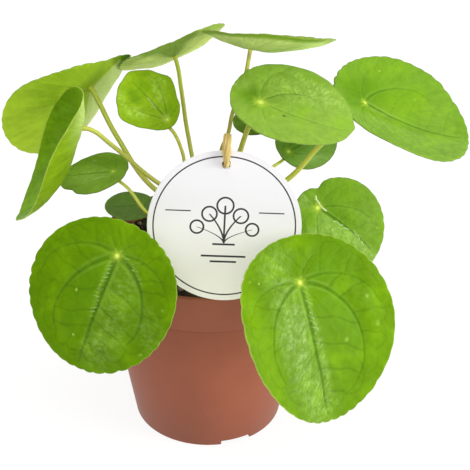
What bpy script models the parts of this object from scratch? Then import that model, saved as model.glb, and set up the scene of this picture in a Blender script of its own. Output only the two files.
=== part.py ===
"""Potted Chinese money plant: a young plant in a plastic nursery pot, with a tied card tag.

Origin on the pot's axis where the pot stands, +Z up, -Y towards the viewer. Metres.
"""
import math

import bmesh
import bpy
from mathutils import Euler, Matrix, Vector

MM = 0.001
GAP = 0.3 * MM

# Pot
POT_HEIGHT = 109 * MM
POT_TOP_RADIUS = 60 * MM
POT_FOOT_RADIUS = 42 * MM
POT_WALL = 1.2 * MM
LIP_HEIGHT = 1.6 * MM
LIP_STEP = 0.9 * MM
BAND_HEIGHT = 87 * MM
BAND_RADIUS = 57.2 * MM
BAND_STEP = 0.6 * MM
FOOT_WIDTH = 2.5 * MM
FOOT_LIFT = 3.2 * MM
PAD_RADIUS = 20 * MM
PAD_SLOPE = 2 * MM
DRAIN_RADIUS = 3 * MM
DRAIN_CIRCLE = 31 * MM
DRAIN_COUNT = 6
NOTCH_COUNT = 3
NOTCH_FIRST = math.radians(-68)
NOTCH_ANGLE = math.radians(24)
NOTCH_HEIGHT = 2.8 * MM
POT_STEPS = 48

# Soil and main stem
SOIL_TOP = 99 * MM
SOIL_RELIEF = 1.3 * MM
SOIL_STEPS = 32
STEM_FOOT = 84 * MM
STEM_TOP = 146 * MM
STEM_RADIUS = 4.2 * MM
STEM_TIP_RADIUS = 2.6 * MM
STEM_X = -2 * MM
STEM_STEPS = 12

# Leaf blades: thickness, and how far a stalk's end stays from what carries it
BLADE_THICKNESS = 0.7 * MM
MARGIN_WAVE = 0.5 * MM
LARGE_SECTORS = 16
SMALL_SECTORS = 12
SMALL_LEAF = 50 * MM
STALK_LEAD = 3.5 * MM
STALK_STAND_OFF = 0.45 * MM

# Each leaf in millimetres and degrees: spot is where the stalk meets the blade, heading and tilt say where the
# upper face looks, turn spins the tip about it, seat is the spot's place along the length, egg widens the base,
# bow and cup are the bends along and across, in thousandths per millimetre. The stalk leaves the main stem at
# height root and passes the points in via.
LEAVES = [
    dict(name="front_left", spot=(-43, -78, 145.5), heading=-107, tilt=58, turn=-15, length=75.5, width=74.5,
         seat=0.22, egg=0.08, bow=-6, cup=1.5, root=110, stalk=1.3, via=[(-16, -24, 120), (-44, -50, 135)]),
    dict(name="front_right", spot=(43.5, -85, 135), heading=-58, tilt=49, turn=5, length=91, width=83.5,
         seat=0.25, egg=0.05, bow=-7, cup=6, root=107, stalk=1.4,
         via=[(18, -30, 116), (50, -52, 127), (50, -68, 130)]),
    dict(name="centre", spot=(26, -20, 199), heading=-59, tilt=19, turn=65, length=64, width=59.5,
         seat=0.24, egg=0.02, bow=-4, cup=3.5, root=128, stalk=1.35, via=[(16, -13.5, 168), (20.5, -17, 184.5)]),
    dict(name="right", spot=(82.5, 16, 183), heading=-30, tilt=35, turn=29, length=81, width=76,
         seat=0.25, egg=-0.02, bow=6, cup=14, root=124, stalk=1.45, via=[(42, 3, 144), (59, 8.5, 161.5)]),
    dict(name="mid_right", spot=(56, -28, 144), heading=-75, tilt=72, turn=35, length=54.5, width=53,
         seat=0.21, egg=0.08, bow=0, cup=7, root=117, stalk=1.1, via=[(36, -8, 131)]),
    dict(name="upper_left", spot=(-63, 28, 187), heading=130, tilt=57, turn=4, length=86, width=82.5,
         seat=0.25, egg=0.02, bow=2, cup=18, root=128, stalk=1.35, via=[(-27.5, 3, 137.5), (-48.5, 16, 163)]),
    dict(name="folded_left", spot=(-63.5, -10, 180), heading=-175, tilt=81, turn=0, length=82, width=75,
         seat=0.25, egg=0.16, bow=16, cup=24, root=133, stalk=1.2, via=[(-25.5, -4.5, 145.5), (-50, -7.5, 170)]),
    dict(name="top_left", spot=(-18.5, 49.5, 196), heading=131, tilt=35, turn=148, length=66, width=61,
         seat=0.31, egg=0.06, bow=2, cup=9, root=139, stalk=1.15, via=[(-11, 23.5, 162), (-14.5, 38, 181)]),
    dict(name="top_right", spot=(21.5, 6, 216.5), heading=67, tilt=27, turn=-33, length=73, width=67,
         seat=0.34, egg=0.03, bow=12.5, cup=14, root=134, stalk=1.05,
         via=[(7, -1, 163.5), (10.5, 0.5, 172.5), (12.4, 1.6, 182.5), (19, 4, 203)]),
    dict(name="young", spot=(-21, 2, 179.5), heading=-70, tilt=45, turn=-148, length=34, width=32.5,
         seat=0.10, egg=0, bow=0, cup=0, root=141, stalk=0.95, via=[(-13.5, 3, 160.5), (-17, 3.3, 170)]),
    dict(name="small_left", spot=(-51, 10, 145.5), heading=-152, tilt=16, turn=-40, length=39, width=36,
         seat=0.21, egg=0.08, bow=0, cup=0, root=115, stalk=0.9, via=[(-31, 1, 123.5), (-43, 6.5, 137)]),
    dict(name="low_left", spot=(-37.5, 18, 120.5), heading=-77, tilt=9, turn=-96, length=28, width=26,
         seat=0.30, egg=0.04, bow=0, cup=0, root=109, stalk=0.8, via=[(-23, 10, 112)]),
    dict(name="small_right", spot=(44, 25, 150), heading=-82, tilt=33, turn=116, length=35, width=33,
         seat=0.15, egg=0.08, bow=0, cup=0, root=129, stalk=0.9, via=[(22, 11, 137), (35, 18.5, 143.5)]),
    dict(name="back", spot=(23, 40, 160.5), heading=-119, tilt=16, turn=147, length=29, width=27,
         seat=0.30, egg=0.05, bow=0, cup=0, root=137, stalk=0.85, via=[(16, 14, 150.5), (20.3, 31, 155.5)]),
]

# Tag and tie
TAG_RADIUS = 37.5 * MM
TAG_THICKNESS = 0.8 * MM
TAG_CENTRE = Vector((8, -49, 145.6)) * MM
TAG_LEAN = math.radians(15)
TAG_ROLL = math.radians(2)
HOLE_RADIUS = 2.3 * MM
HOLE_UP = 30 * MM
TIE_RADIUS = 2.0 * MM
TIE_HOLD = Vector((10.5, 0.4, 172.6)) * MM

COLLECTION_NAME = "potted_chinese_money_plant"


def clear_scene():
    for scene_object in list(bpy.data.objects):
        bpy.data.objects.remove(scene_object, do_unlink=True)


def make_collection(name):
    collection = bpy.data.collections.new(name)
    bpy.context.scene.collection.children.link(collection)
    return collection


def make_material(name, colour, roughness):
    material = bpy.data.materials.new(name)
    material.use_nodes = True
    shader = material.node_tree.nodes["Principled BSDF"]
    shader.inputs["Base Color"].default_value = (*colour, 1.0)
    shader.inputs["Roughness"].default_value = roughness
    shader.inputs["Metallic"].default_value = 0.0
    return material


def add_object(name, data, collection, material=None, parent=None):
    scene_object = bpy.data.objects.new(name, data)
    collection.objects.link(scene_object)
    if material:
        data.materials.append(material)
    if parent:
        scene_object.parent = parent
    return scene_object


def add_turned(name, profile, steps, collection, material, parent):
    """A solid of revolution about Z: the profile runs down its outer side and back up inside."""
    mesh = bpy.data.meshes.new(name)
    corners = bmesh.new()
    points = [corners.verts.new((radius, 0, height)) for radius, height in profile]
    for first, second in zip(points, points[1:]):
        corners.edges.new((first, second))
    corners.to_mesh(mesh)
    corners.free()
    turned = add_object(name, mesh, collection, material, parent)
    screw = turned.modifiers.new("turn", "SCREW")
    screw.steps = steps
    screw.render_steps = steps
    screw.use_merge_vertices = True
    screw.merge_threshold = 0.00005
    return turned


def add_cutter(name, make_mesh, collection):
    mesh = bpy.data.meshes.new(name)
    shape = bmesh.new()
    make_mesh(shape)
    shape.to_mesh(mesh)
    shape.free()
    cutter = add_object(name, mesh, collection)
    cutter.hide_render = True
    cutter.display_type = "WIRE"
    return cutter


def cut(target, cutter):
    boolean = target.modifiers.new(cutter.name, "BOOLEAN")
    boolean.operation = "DIFFERENCE"
    boolean.object = cutter


def pot_profile():
    foot_inner = POT_FOOT_RADIUS - FOOT_WIDTH
    floor_height = FOOT_LIFT + POT_WALL
    lip_inner = POT_TOP_RADIUS - POT_WALL - LIP_STEP
    return [
        (POT_TOP_RADIUS - 0.4 * MM, POT_HEIGHT),
        (POT_TOP_RADIUS, POT_HEIGHT - 0.4 * MM),
        (POT_TOP_RADIUS, POT_HEIGHT - LIP_HEIGHT),
        (POT_TOP_RADIUS - LIP_STEP, POT_HEIGHT - LIP_HEIGHT - 0.2 * MM),
        (BAND_RADIUS, BAND_HEIGHT + 0.3 * MM),
        (BAND_RADIUS - BAND_STEP, BAND_HEIGHT),
        (POT_FOOT_RADIUS, 0.0),
        (foot_inner, 0.0),
        (foot_inner - 0.4 * MM, FOOT_LIFT),
        (PAD_RADIUS + PAD_SLOPE, FOOT_LIFT),
        (PAD_RADIUS, 0.0),
        (0.0, 0.0),
        (0.0, POT_WALL),
        (PAD_RADIUS - 0.4 * MM, POT_WALL),
        (PAD_RADIUS + PAD_SLOPE - 0.4 * MM, floor_height),
        (POT_FOOT_RADIUS - POT_WALL, floor_height),
        (BAND_RADIUS - BAND_STEP - POT_WALL, BAND_HEIGHT),
        (lip_inner, POT_HEIGHT - 0.3 * MM),
        (lip_inner + 0.4 * MM, POT_HEIGHT),
        (POT_TOP_RADIUS - 0.4 * MM, POT_HEIGHT),
    ]


def foot_notch(angle):
    """A wedge that opens the foot ring over NOTCH_ANGLE about the given direction."""
    def build(shape):
        bmesh.ops.create_cube(shape, size=1.0)
        half_width = POT_FOOT_RADIUS * math.sin(NOTCH_ANGLE / 2)
        bmesh.ops.scale(shape, vec=(12 * MM, 2 * half_width, 2 * NOTCH_HEIGHT), verts=shape.verts)
        bmesh.ops.translate(shape, vec=(POT_FOOT_RADIUS, 0, 0), verts=shape.verts)
        bmesh.ops.rotate(shape, matrix=Matrix.Rotation(angle, 3, "Z"), verts=shape.verts)
    return build


def drain_hole(angle):
    def build(shape):
        bmesh.ops.create_cone(shape, cap_ends=True, segments=10, radius1=DRAIN_RADIUS, radius2=DRAIN_RADIUS,
                              depth=6 * MM)
        place = Vector((DRAIN_CIRCLE * math.cos(angle), DRAIN_CIRCLE * math.sin(angle), FOOT_LIFT))
        bmesh.ops.translate(shape, vec=place, verts=shape.verts)
    return build


def make_pot(parts, cutters, root):
    plastic = make_material("terracotta_plastic", (0.42, 0.17, 0.10), 0.55)
    pot = add_turned("pot", pot_profile(), POT_STEPS, parts, plastic, root)
    for index in range(NOTCH_COUNT):
        angle = NOTCH_FIRST + index * math.tau / NOTCH_COUNT
        cut(pot, add_cutter(f"notch_cutter_{index}", foot_notch(angle), cutters))
    for index in range(DRAIN_COUNT):
        angle = NOTCH_FIRST + (index + 0.5) * math.tau / DRAIN_COUNT
        cut(pot, add_cutter(f"drain_cutter_{index}", drain_hole(angle), cutters))
    return pot


def soil_height(x, y):
    """Gentle unevenness of the soil's surface, from three crossing waves."""
    wave = math.sin(170 * x + 90 * y) + math.sin(-110 * x + 210 * y + 1.0) + math.sin(300 * x + 40 * y + 2.0)
    return SOIL_TOP + SOIL_RELIEF * wave / 3


def make_soil(parts, cutters, root):
    inner_floor = POT_WALL + GAP
    raised_floor = FOOT_LIFT + POT_WALL + GAP
    band_inner = BAND_RADIUS - BAND_STEP - POT_WALL - GAP
    lip_inner = POT_TOP_RADIUS - POT_WALL - LIP_STEP - GAP
    top_share = (SOIL_TOP - BAND_HEIGHT) / (POT_HEIGHT - BAND_HEIGHT)
    top_radius = band_inner + (lip_inner - band_inner) * top_share - 0.2 * MM
    rings = 5
    top = [(top_radius * ring / rings, SOIL_TOP) for ring in range(rings + 1)]
    profile = top + [
        (band_inner, BAND_HEIGHT),
        (POT_FOOT_RADIUS - POT_WALL - GAP - 0.1 * MM, raised_floor),
        (PAD_RADIUS + PAD_SLOPE - 0.4 * MM, raised_floor),
        (PAD_RADIUS - 0.9 * MM, inner_floor),
        (0.0, inner_floor),
    ]
    earth = make_material("potting_soil", (0.045, 0.035, 0.028), 0.95)
    guide = add_turned("soil_guide", profile, SOIL_STEPS, cutters, None, None)
    evaluated = guide.evaluated_get(bpy.context.evaluated_depsgraph_get())
    mesh = bpy.data.meshes.new_from_object(evaluated)
    bpy.data.objects.remove(guide, do_unlink=True)
    mesh.name = "soil"
    for vertex in mesh.vertices:
        if vertex.co.z > SOIL_TOP - 0.1 * MM:
            vertex.co.z = soil_height(vertex.co.x, vertex.co.y)
    soil = add_object("soil", mesh, parts, earth, root)

    def stem_hole(shape):
        bmesh.ops.create_cone(shape, cap_ends=True, segments=STEM_STEPS, radius1=STEM_RADIUS + GAP + 0.2 * MM,
                              radius2=STEM_RADIUS + GAP + 0.2 * MM, depth=40 * MM)
        bmesh.ops.translate(shape, vec=(STEM_X, 0, STEM_FOOT - GAP + 20 * MM), verts=shape.verts)

    cut(soil, add_cutter("stem_hole_cutter", stem_hole, cutters))
    return soil


def stem_radius(height):
    """The woody stem tapers above the soil."""
    share = max(0.0, (height - SOIL_TOP) / (STEM_TOP - SOIL_TOP))
    return STEM_RADIUS + (STEM_TIP_RADIUS - STEM_RADIUS) * share


def make_stem(parts, root):
    bark = make_material("stem_bark", (0.20, 0.12, 0.06), 0.85)
    mesh = bpy.data.meshes.new("main_stem")
    shape = bmesh.new()
    levels = [STEM_FOOT, SOIL_TOP, STEM_TOP - 1.2 * MM, STEM_TOP]
    radii = [STEM_RADIUS, STEM_RADIUS, stem_radius(STEM_TOP - 1.2 * MM), STEM_TIP_RADIUS * 0.6]
    bmesh.ops.create_circle(shape, cap_ends=True, segments=STEM_STEPS, radius=radii[0])
    bmesh.ops.translate(shape, vec=(STEM_X, 0, levels[0]), verts=shape.verts)
    top_face = shape.faces[:][0]
    for level, radius, below, radius_below in zip(levels[1:], radii[1:], levels, radii):
        raised = bmesh.ops.extrude_face_region(shape, geom=[top_face])
        ring = [item for item in raised["geom"] if isinstance(item, bmesh.types.BMVert)]
        bmesh.ops.translate(shape, vec=(0, 0, level - below), verts=ring)
        scale = radius / radius_below
        bmesh.ops.scale(shape, vec=(scale, scale, 1), verts=ring, space=Matrix.Translation((-STEM_X, 0, 0)))
        if top_face.is_valid and below != levels[0]:
            shape.faces.remove(top_face)
        top_face = [item for item in raised["geom"] if isinstance(item, bmesh.types.BMFace)][0]
    bmesh.ops.recalc_face_normals(shape, faces=shape.faces)
    shape.to_mesh(mesh)
    shape.free()
    return add_object("main_stem", mesh, parts, bark, root)


def leaf_placement(leaf):
    """The blade's own frame: origin at the spot, +X to the tip, +Z out of the upper face."""
    turn = Matrix.Rotation(math.radians(leaf["heading"]), 4, "Z")
    turn = turn @ Matrix.Rotation(math.radians(leaf["tilt"]), 4, "Y")
    turn = turn @ Matrix.Rotation(math.radians(leaf["turn"]), 4, "Z")
    return Matrix.Translation(Vector(leaf["spot"]) * MM) @ turn


def blade_point(leaf, reach, angle, waves):
    """A point of the upper face, reach from 0 at the spot to 1 at the margin, angle 0 towards the tip."""
    length = leaf["length"] * MM
    width = leaf["width"] * MM
    along = length * (0.5 - leaf["seat"]) + length / 2 * math.cos(angle)
    across = width / 2 * math.sin(angle) * (1 - leaf["egg"] * math.cos(angle))
    if reach > 0.99:
        reach += MARGIN_WAVE / (width / 2) * math.cos(waves * angle)
    along *= reach
    across *= reach
    cup = leaf["cup"] or 0.01
    bow = leaf["bow"] or 0.01
    side = math.sin(cup * across) / cup
    lift = (1 - math.cos(cup * across)) / cup
    radius = 1 / bow - lift
    return Vector((radius * math.sin(bow * along), side, 1 / bow - radius * math.cos(bow * along)))


def make_blade(leaf, parts, material, root):
    """A fan of sectors, split into four rings, bent to the leaf's form and given its thickness downwards."""
    name = "blade_" + leaf["name"]
    sectors = SMALL_SECTORS if leaf["length"] * MM < SMALL_LEAF else LARGE_SECTORS
    mesh = bpy.data.meshes.new(name)
    shape = bmesh.new()
    bmesh.ops.create_circle(shape, cap_ends=True, cap_tris=True, segments=sectors, radius=1.0)
    for _ in range(2):
        bmesh.ops.subdivide_edges(shape, edges=shape.edges[:], cuts=1, use_grid_fill=True)
    half_sector = math.pi / sectors
    for vertex in shape.verts:
        angle = math.atan2(vertex.co.y, vertex.co.x)
        off_middle = angle % (2 * half_sector) - half_sector
        reach = vertex.co.length * math.cos(off_middle) / math.cos(half_sector)
        vertex.co = blade_point(leaf, reach, angle, 2 * sectors)
    shape.to_mesh(mesh)
    shape.free()
    blade = add_object(name, mesh, parts, material, root)
    blade.matrix_world = leaf_placement(leaf)
    solidify = blade.modifiers.new("thickness", "SOLIDIFY")
    solidify.thickness = BLADE_THICKNESS
    solidify.offset = -1.0
    mesh.shade_smooth()
    return blade


def stalk_route(leaf):
    """Control points from the main stem to just under the blade's spot."""
    radius = leaf["stalk"] * MM
    root_height = leaf["root"] * MM
    middle = [Vector(point) * MM for point in leaf["via"]]
    outward = Vector((middle[0].x - STEM_X, middle[0].y, 0)).normalized()
    axis = Vector((STEM_X, 0, root_height))
    surface = stem_radius(root_height)
    start = axis + outward * (surface + STALK_STAND_OFF)
    lead = axis + outward * (surface + 4.5 * MM) + Vector((0, 0, 1.2 * MM))
    placement = leaf_placement(leaf)
    spot = placement.translation
    under = -(placement.to_3x3() @ Vector((0, 0, 1)))
    end = spot + under * (BLADE_THICKNESS + GAP + 0.15 * radius)
    approach = spot + under * STALK_LEAD
    return [start, lead] + middle + [approach, end], radius


def make_stalk(leaf, parts, material, root):
    name = "stalk_" + leaf["name"]
    points, radius = stalk_route(leaf)
    curve = bpy.data.curves.new(name, "CURVE")
    curve.dimensions = "3D"
    curve.resolution_u = 3
    curve.bevel_depth = radius
    curve.bevel_resolution = 1
    curve.use_fill_caps = True
    spline = curve.splines.new("BEZIER")
    spline.bezier_points.add(len(points) - 1)
    for control, point in zip(spline.bezier_points, points):
        control.co = point
        control.handle_left_type = "AUTO"
        control.handle_right_type = "AUTO"
    return add_object(name, curve, parts, material, root)


def make_leaves(parts, root):
    green = make_material("leaf_green", (0.16, 0.36, 0.02), 0.40)
    olive = make_material("stalk_olive", (0.38, 0.36, 0.08), 0.50)
    for leaf in LEAVES:
        make_blade(leaf, parts, green, root)
        make_stalk(leaf, parts, olive, root)


def tag_rotation():
    """Stands the disc up facing -Y, leans it back and rolls it a little clockwise."""
    return Euler((math.pi / 2 - TAG_LEAN, 0, 0)).to_matrix().to_4x4() @ Matrix.Rotation(-TAG_ROLL, 4, "Z")


def make_tag(parts, cutters, root):
    card = make_material("tag_card", (0.88, 0.87, 0.83), 0.60)
    placement = Matrix.Translation(TAG_CENTRE) @ tag_rotation()
    mesh = bpy.data.meshes.new("tag")
    shape = bmesh.new()
    bmesh.ops.create_cone(shape, cap_ends=True, segments=48, radius1=TAG_RADIUS, radius2=TAG_RADIUS,
                          depth=TAG_THICKNESS)
    shape.to_mesh(mesh)
    shape.free()
    tag = add_object("tag", mesh, parts, card, root)
    tag.matrix_world = placement

    def punched_hole(hole):
        bmesh.ops.create_cone(hole, cap_ends=True, segments=16, radius1=HOLE_RADIUS, radius2=HOLE_RADIUS,
                              depth=6 * MM)
        bmesh.ops.translate(hole, vec=(0, HOLE_UP, 0), verts=hole.verts)
        bmesh.ops.transform(hole, matrix=placement, verts=hole.verts)

    cut(tag, add_cutter("tag_hole_cutter", punched_hole, cutters))
    return tag


def make_tie(parts, root):
    """One loop of straw: through the tag's hole, over its top edge and round the top right leaf's stalk.

    Each point has its share of TIE_RADIUS: the straw is broad over the tag's edge and thin where it bends.
    """
    straw = make_material("straw_tie", (0.55, 0.38, 0.14), 0.80)
    placement = Matrix.Translation(TAG_CENTRE) @ tag_rotation()

    def by_hole(across, up, front):
        return placement @ Vector((across * MM, HOLE_UP + up * MM, front * MM))

    def by_stalk(x, y, z):
        return TIE_HOLD + Vector((x, y, z)) * MM

    route = [
        (by_hole(0, 0, 0), 0.5), (by_hole(0, 0.3, 2.3), 0.6), (by_hole(-0.2, 6.2, 3.0), 0.95),
        (by_hole(-0.4, 11.2, 0.6), 1.0), (Vector((9.2, -18, 180.5)) * MM, 0.9),
        (by_stalk(-0.7, -4.0, 2.0), 0.5), (by_stalk(-1.3, -1.3, 0.9), 0.25), (by_stalk(-1.5, 0.9, 0.3), 0.25),
        (by_stalk(0, 1.8, 0), 0.25), (by_stalk(1.5, 0.9, -0.2), 0.25), (by_stalk(1.3, -1.3, -0.9), 0.25),
        (Vector((10.4, -20, 173)) * MM, 0.6), (by_hole(0, 0, -3.2), 0.6),
    ]
    curve = bpy.data.curves.new("tie", "CURVE")
    curve.dimensions = "3D"
    curve.resolution_u = 3
    curve.bevel_depth = TIE_RADIUS
    curve.bevel_resolution = 2
    spline = curve.splines.new("BEZIER")
    spline.use_cyclic_u = True
    spline.bezier_points.add(len(route) - 1)
    for control, (point, share) in zip(spline.bezier_points, route):
        control.co = point
        control.radius = share
        control.handle_left_type = "AUTO"
        control.handle_right_type = "AUTO"
    return add_object("tie", curve, parts, straw, root)


def main():
    clear_scene()
    parts = make_collection(COLLECTION_NAME)
    cutters = make_collection("cutters")
    root = bpy.data.objects.new("plant_root", None)
    parts.objects.link(root)
    make_pot(parts, cutters, root)
    make_soil(parts, cutters, root)
    make_stem(parts, root)
    make_leaves(parts, root)
    make_tag(parts, cutters, root)
    make_tie(parts, root)


main()
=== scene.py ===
import math

import bmesh
import bpy
import numpy as np
from mathutils import Matrix, Vector, noise


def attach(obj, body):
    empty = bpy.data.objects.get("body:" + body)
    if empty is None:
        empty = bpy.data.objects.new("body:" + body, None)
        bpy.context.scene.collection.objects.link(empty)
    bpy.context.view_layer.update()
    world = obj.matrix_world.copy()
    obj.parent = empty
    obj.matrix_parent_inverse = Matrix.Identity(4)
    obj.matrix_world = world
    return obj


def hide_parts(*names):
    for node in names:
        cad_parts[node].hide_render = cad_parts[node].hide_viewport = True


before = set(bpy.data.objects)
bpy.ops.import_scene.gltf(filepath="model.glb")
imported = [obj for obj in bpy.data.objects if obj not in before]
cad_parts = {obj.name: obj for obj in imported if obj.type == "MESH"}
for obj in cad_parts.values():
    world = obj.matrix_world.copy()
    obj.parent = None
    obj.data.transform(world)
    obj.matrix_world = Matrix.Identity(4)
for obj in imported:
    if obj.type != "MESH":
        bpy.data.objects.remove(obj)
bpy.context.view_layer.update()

mm = 0.001
seed = 7
rng = np.random.default_rng(seed)


# Shader expressions

class Wire:
    def __init__(self, tree, socket=None):
        self.tree = tree
        self.socket = socket

    def node(self, kind, settings=None, inputs=None, out=0):
        # a colour ramp's stops are given among its settings
        made = self.tree.nodes.new(kind)
        settings = dict(settings or {})
        stops = settings.pop("stops", [])
        for key, value in settings.items():
            setattr(made, key, value)
        for _ in stops[2:]:
            made.color_ramp.elements.new(0.5)
        for i, (place, colour) in enumerate(stops):
            made.color_ramp.elements[i].position = place
            made.color_ramp.elements[i].color = (*colour, 1.0)
        for key, value in (inputs or {}).items():
            if isinstance(value, Wire):
                self.tree.links.new(value.socket, made.inputs[key])
            else:
                made.inputs[key].default_value = value
        return Wire(self.tree, made.outputs[out])

    def math(self, operation, first, second=0.0):
        return self.node("ShaderNodeMath", {"operation": operation}, {0: first, 1: second})

    def __add__(self, other):
        return self.math("ADD", self, other)

    def __radd__(self, other):
        return self.math("ADD", other, self)

    def __sub__(self, other):
        return self.math("SUBTRACT", self, other)

    def __rsub__(self, other):
        return self.math("SUBTRACT", other, self)

    def __mul__(self, other):
        return self.math("MULTIPLY", self, other)

    def __rmul__(self, other):
        return self.math("MULTIPLY", other, self)

    def __truediv__(self, other):
        return self.math("DIVIDE", self, other)

    def __rtruediv__(self, other):
        return self.math("DIVIDE", other, self)

    def __pow__(self, other):
        return self.math("POWER", self, other)

    def step(self, low, high):
        # 0 below low, 1 above high, smooth between
        return self.node("ShaderNodeMapRange", {"interpolation_type": "SMOOTHSTEP"},
                         {0: self, 1: low, 2: high, 3: 0.0, 4: 1.0})

    def mixColour(self, first, second):
        # self is the share of the second colour
        def full(colour):
            return colour if isinstance(colour, Wire) else (*colour, 1.0)
        return self.node("ShaderNodeMix", {"data_type": "RGBA"},
                         {0: self, 6: full(first), 7: full(second)}, out=2)

    def tinted(self, factor):
        # a colour times a number that varies
        grey = self.node("ShaderNodeCombineColor", None, {0: factor, 1: factor, 2: factor})
        return self.node("ShaderNodeMix", {"data_type": "RGBA", "blend_type": "MULTIPLY"},
                         {0: 1.0, 6: self, 7: grey}, out=2)

    def into(self, shader, name):
        self.tree.links.new(self.socket, shader.inputs[name])


def newMaterial(name, roughness, specular=0.5):
    material = bpy.data.materials.new(name)
    material.use_nodes = True
    shader = material.node_tree.nodes["Principled BSDF"]
    shader.inputs["Roughness"].default_value = roughness
    shader.inputs["Specular IOR Level"].default_value = specular
    return material, shader, Wire(material.node_tree)


def objectPlace(wire):
    return wire.node("ShaderNodeTexCoord", out=3)


def attribute(wire, name, out=2):
    # a number that the mesh carries, or a colour with out=0
    return wire.node("ShaderNodeAttribute", {"attribute_name": name}, out=out)


def noiseAt(wire, where, scale, detail=3.0, roughness=0.55, distortion=0.0):
    return wire.node("ShaderNodeTexNoise", None, {"Vector": where, "Scale": scale, "Detail": detail,
                                                  "Roughness": roughness, "Distortion": distortion})


def bumpInto(wire, shader, height, distance, strength=1.0):
    bump = wire.node("ShaderNodeBump", None, {"Height": height, "Distance": distance, "Strength": strength})
    bump.into(shader, "Normal")


# Mesh helpers

planeUnit = 100  # the flat place on a piece is told to its material in these millimetres
handleDivisor = 2.5614  # a curve's automatic handle is its span divided by this


def placeObject(name, data):
    made = bpy.data.objects.new(name, data)
    bpy.context.scene.collection.objects.link(made)
    return made


def addMesh(name, points, faces, material, replaces, attributes=None, plane=None):
    # each attribute is a number or a colour for every point; plane is each point's place on the flat piece
    mesh = bpy.data.meshes.new(name)
    mesh.from_pydata([tuple(p) for p in points], [], [tuple(int(i) for i in f) for f in faces])
    mesh.update()
    for key, values in (attributes or {}).items():
        values = np.asarray(values, float)
        if values.ndim == 2:
            layer = mesh.attributes.new(key, "FLOAT_COLOR", "POINT")
            layer.data.foreach_set("color", np.column_stack([values, np.ones(len(values))]).ravel())
        else:
            layer = mesh.attributes.new(key, "FLOAT", "POINT")
            layer.data.foreach_set("value", values)
    if plane is not None:
        corners = np.empty(len(mesh.loops), int)
        mesh.loops.foreach_get("vertex_index", corners)
        flat = np.asarray(plane)[corners] / planeUnit
        mesh.uv_layers.new(name="plane").data.foreach_set("uv", flat.ravel())
    mesh.shade_smooth()
    mesh.materials.append(material)
    made = placeObject(name, mesh)
    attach(made, "root")
    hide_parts(replaces)
    return made


def ringFaces(inner, outer, sides):
    # the faces between two rings of points, given by the number of each ring's first point
    return [(inner + j, outer + j, outer + (j + 1) % sides, inner + (j + 1) % sides) for j in range(sides)]


def smoothRoute(points, perSpan, closed=False):
    # a cubic through the points, with the handles that a curve's automatic ones have
    points = np.asarray(points, float)
    count = len(points)
    before = np.roll(points, 1, axis=0)
    after = np.roll(points, -1, axis=0)
    if not closed:
        before[0] = 2 * points[0] - points[1]
        after[-1] = 2 * points[-1] - points[-2]
    fromLast, toNext = points - before, after - points
    lastLength = np.linalg.norm(fromLast, axis=1, keepdims=True)
    nextLength = np.linalg.norm(toNext, axis=1, keepdims=True)
    along = toNext / nextLength + fromLast / lastLength
    along /= np.linalg.norm(along, axis=1, keepdims=True) * handleDivisor
    left, right = points - along * lastLength, points + along * nextLength
    route = []
    spans = count if closed else count - 1
    for i in range(spans):
        j = (i + 1) % count
        for t in np.linspace(0, 1, perSpan, endpoint=False):
            s = 1 - t
            route.append(s ** 3 * points[i] + 3 * s * s * t * right[i]
                         + 3 * s * t * t * left[j] + t ** 3 * points[j])
    if not closed:
        route.append(points[-1])
    return np.array(route)


def travellingFrames(route, closed=False):
    # two directions square to the route at each of its points, which don't twist on the way
    tangent = np.gradient(route, axis=0)
    if closed:
        tangent = np.roll(route, -1, axis=0) - np.roll(route, 1, axis=0)
    tangent /= np.linalg.norm(tangent, axis=1, keepdims=True)
    side = np.empty_like(route)
    side[0] = np.cross(tangent[0], (0.3, 0.9, 0.2))
    side[0] /= np.linalg.norm(side[0])
    for i in range(1, len(route)):
        side[i] = side[i - 1] - tangent[i] * (side[i - 1] @ tangent[i])
        side[i] /= np.linalg.norm(side[i])
    return side, np.cross(tangent, side)


def tube(route, radii, sides, closed=False):
    side, up = travellingFrames(route, closed)
    turn = np.linspace(0, math.tau, sides, endpoint=False)
    radii = np.broadcast_to(np.asarray(radii, float), (len(route),))
    ring = side[:, None] * np.cos(turn)[None, :, None] + up[:, None] * np.sin(turn)[None, :, None]
    points = (route[:, None] + ring * radii[:, None, None]).reshape(-1, 3)
    faces = []
    rows = len(route) if closed else len(route) - 1
    for i in range(rows):
        k = (i + 1) % len(route)
        for j in range(sides):
            n = (j + 1) % sides
            faces.append((i * sides + j, i * sides + n, k * sides + n, k * sides + j))
    if not closed:
        faces.append(tuple(range(sides - 1, -1, -1)))
        faces.append(tuple((len(route) - 1) * sides + j for j in range(sides)))
    return points, faces


# Camera, light and floor

# Millimetres, degrees and pixels of the photograph
view = dict(place=(0, -560, 436), down=30.07, focal=1190, frame=470, axisColumn=208, sensor=36)

# Each box stands in a direction from the plant's middle, this many metres away
light = dict(
    sky=0.45,
    middle=(0, 0, 0.13),
    boxes=[
        dict(name="rightBox", towards=(1.0, -0.42, 0.35), away=1.4, size=0.7, power=15),
        dict(name="leftBox", towards=(-1.0, 0.20, 0.35), away=1.4, size=0.6, power=4.5),
        dict(name="frontBox", towards=(-0.02, -1.0, 0.62), away=1.5, size=0.7, power=5.2),
        dict(name="topBox", towards=(0.05, 0.10, 1.0), away=1.4, size=0.8, power=7),
    ],
)
ground = dict(half=4, drop=0.0003, grey=0.22, glow=0.84)


def makeCamera():
    data = bpy.data.cameras.new("photoCamera")
    data.sensor_width = view["sensor"]
    data.lens = view["focal"] * view["sensor"] / view["frame"]
    data.shift_x = (view["frame"] / 2 - view["axisColumn"]) / view["frame"]
    camera = placeObject("photoCamera", data)
    camera.location = Vector(view["place"]) * mm
    camera.rotation_euler = (math.radians(90 - view["down"]), 0, 0)
    bpy.context.scene.camera = camera


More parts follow.
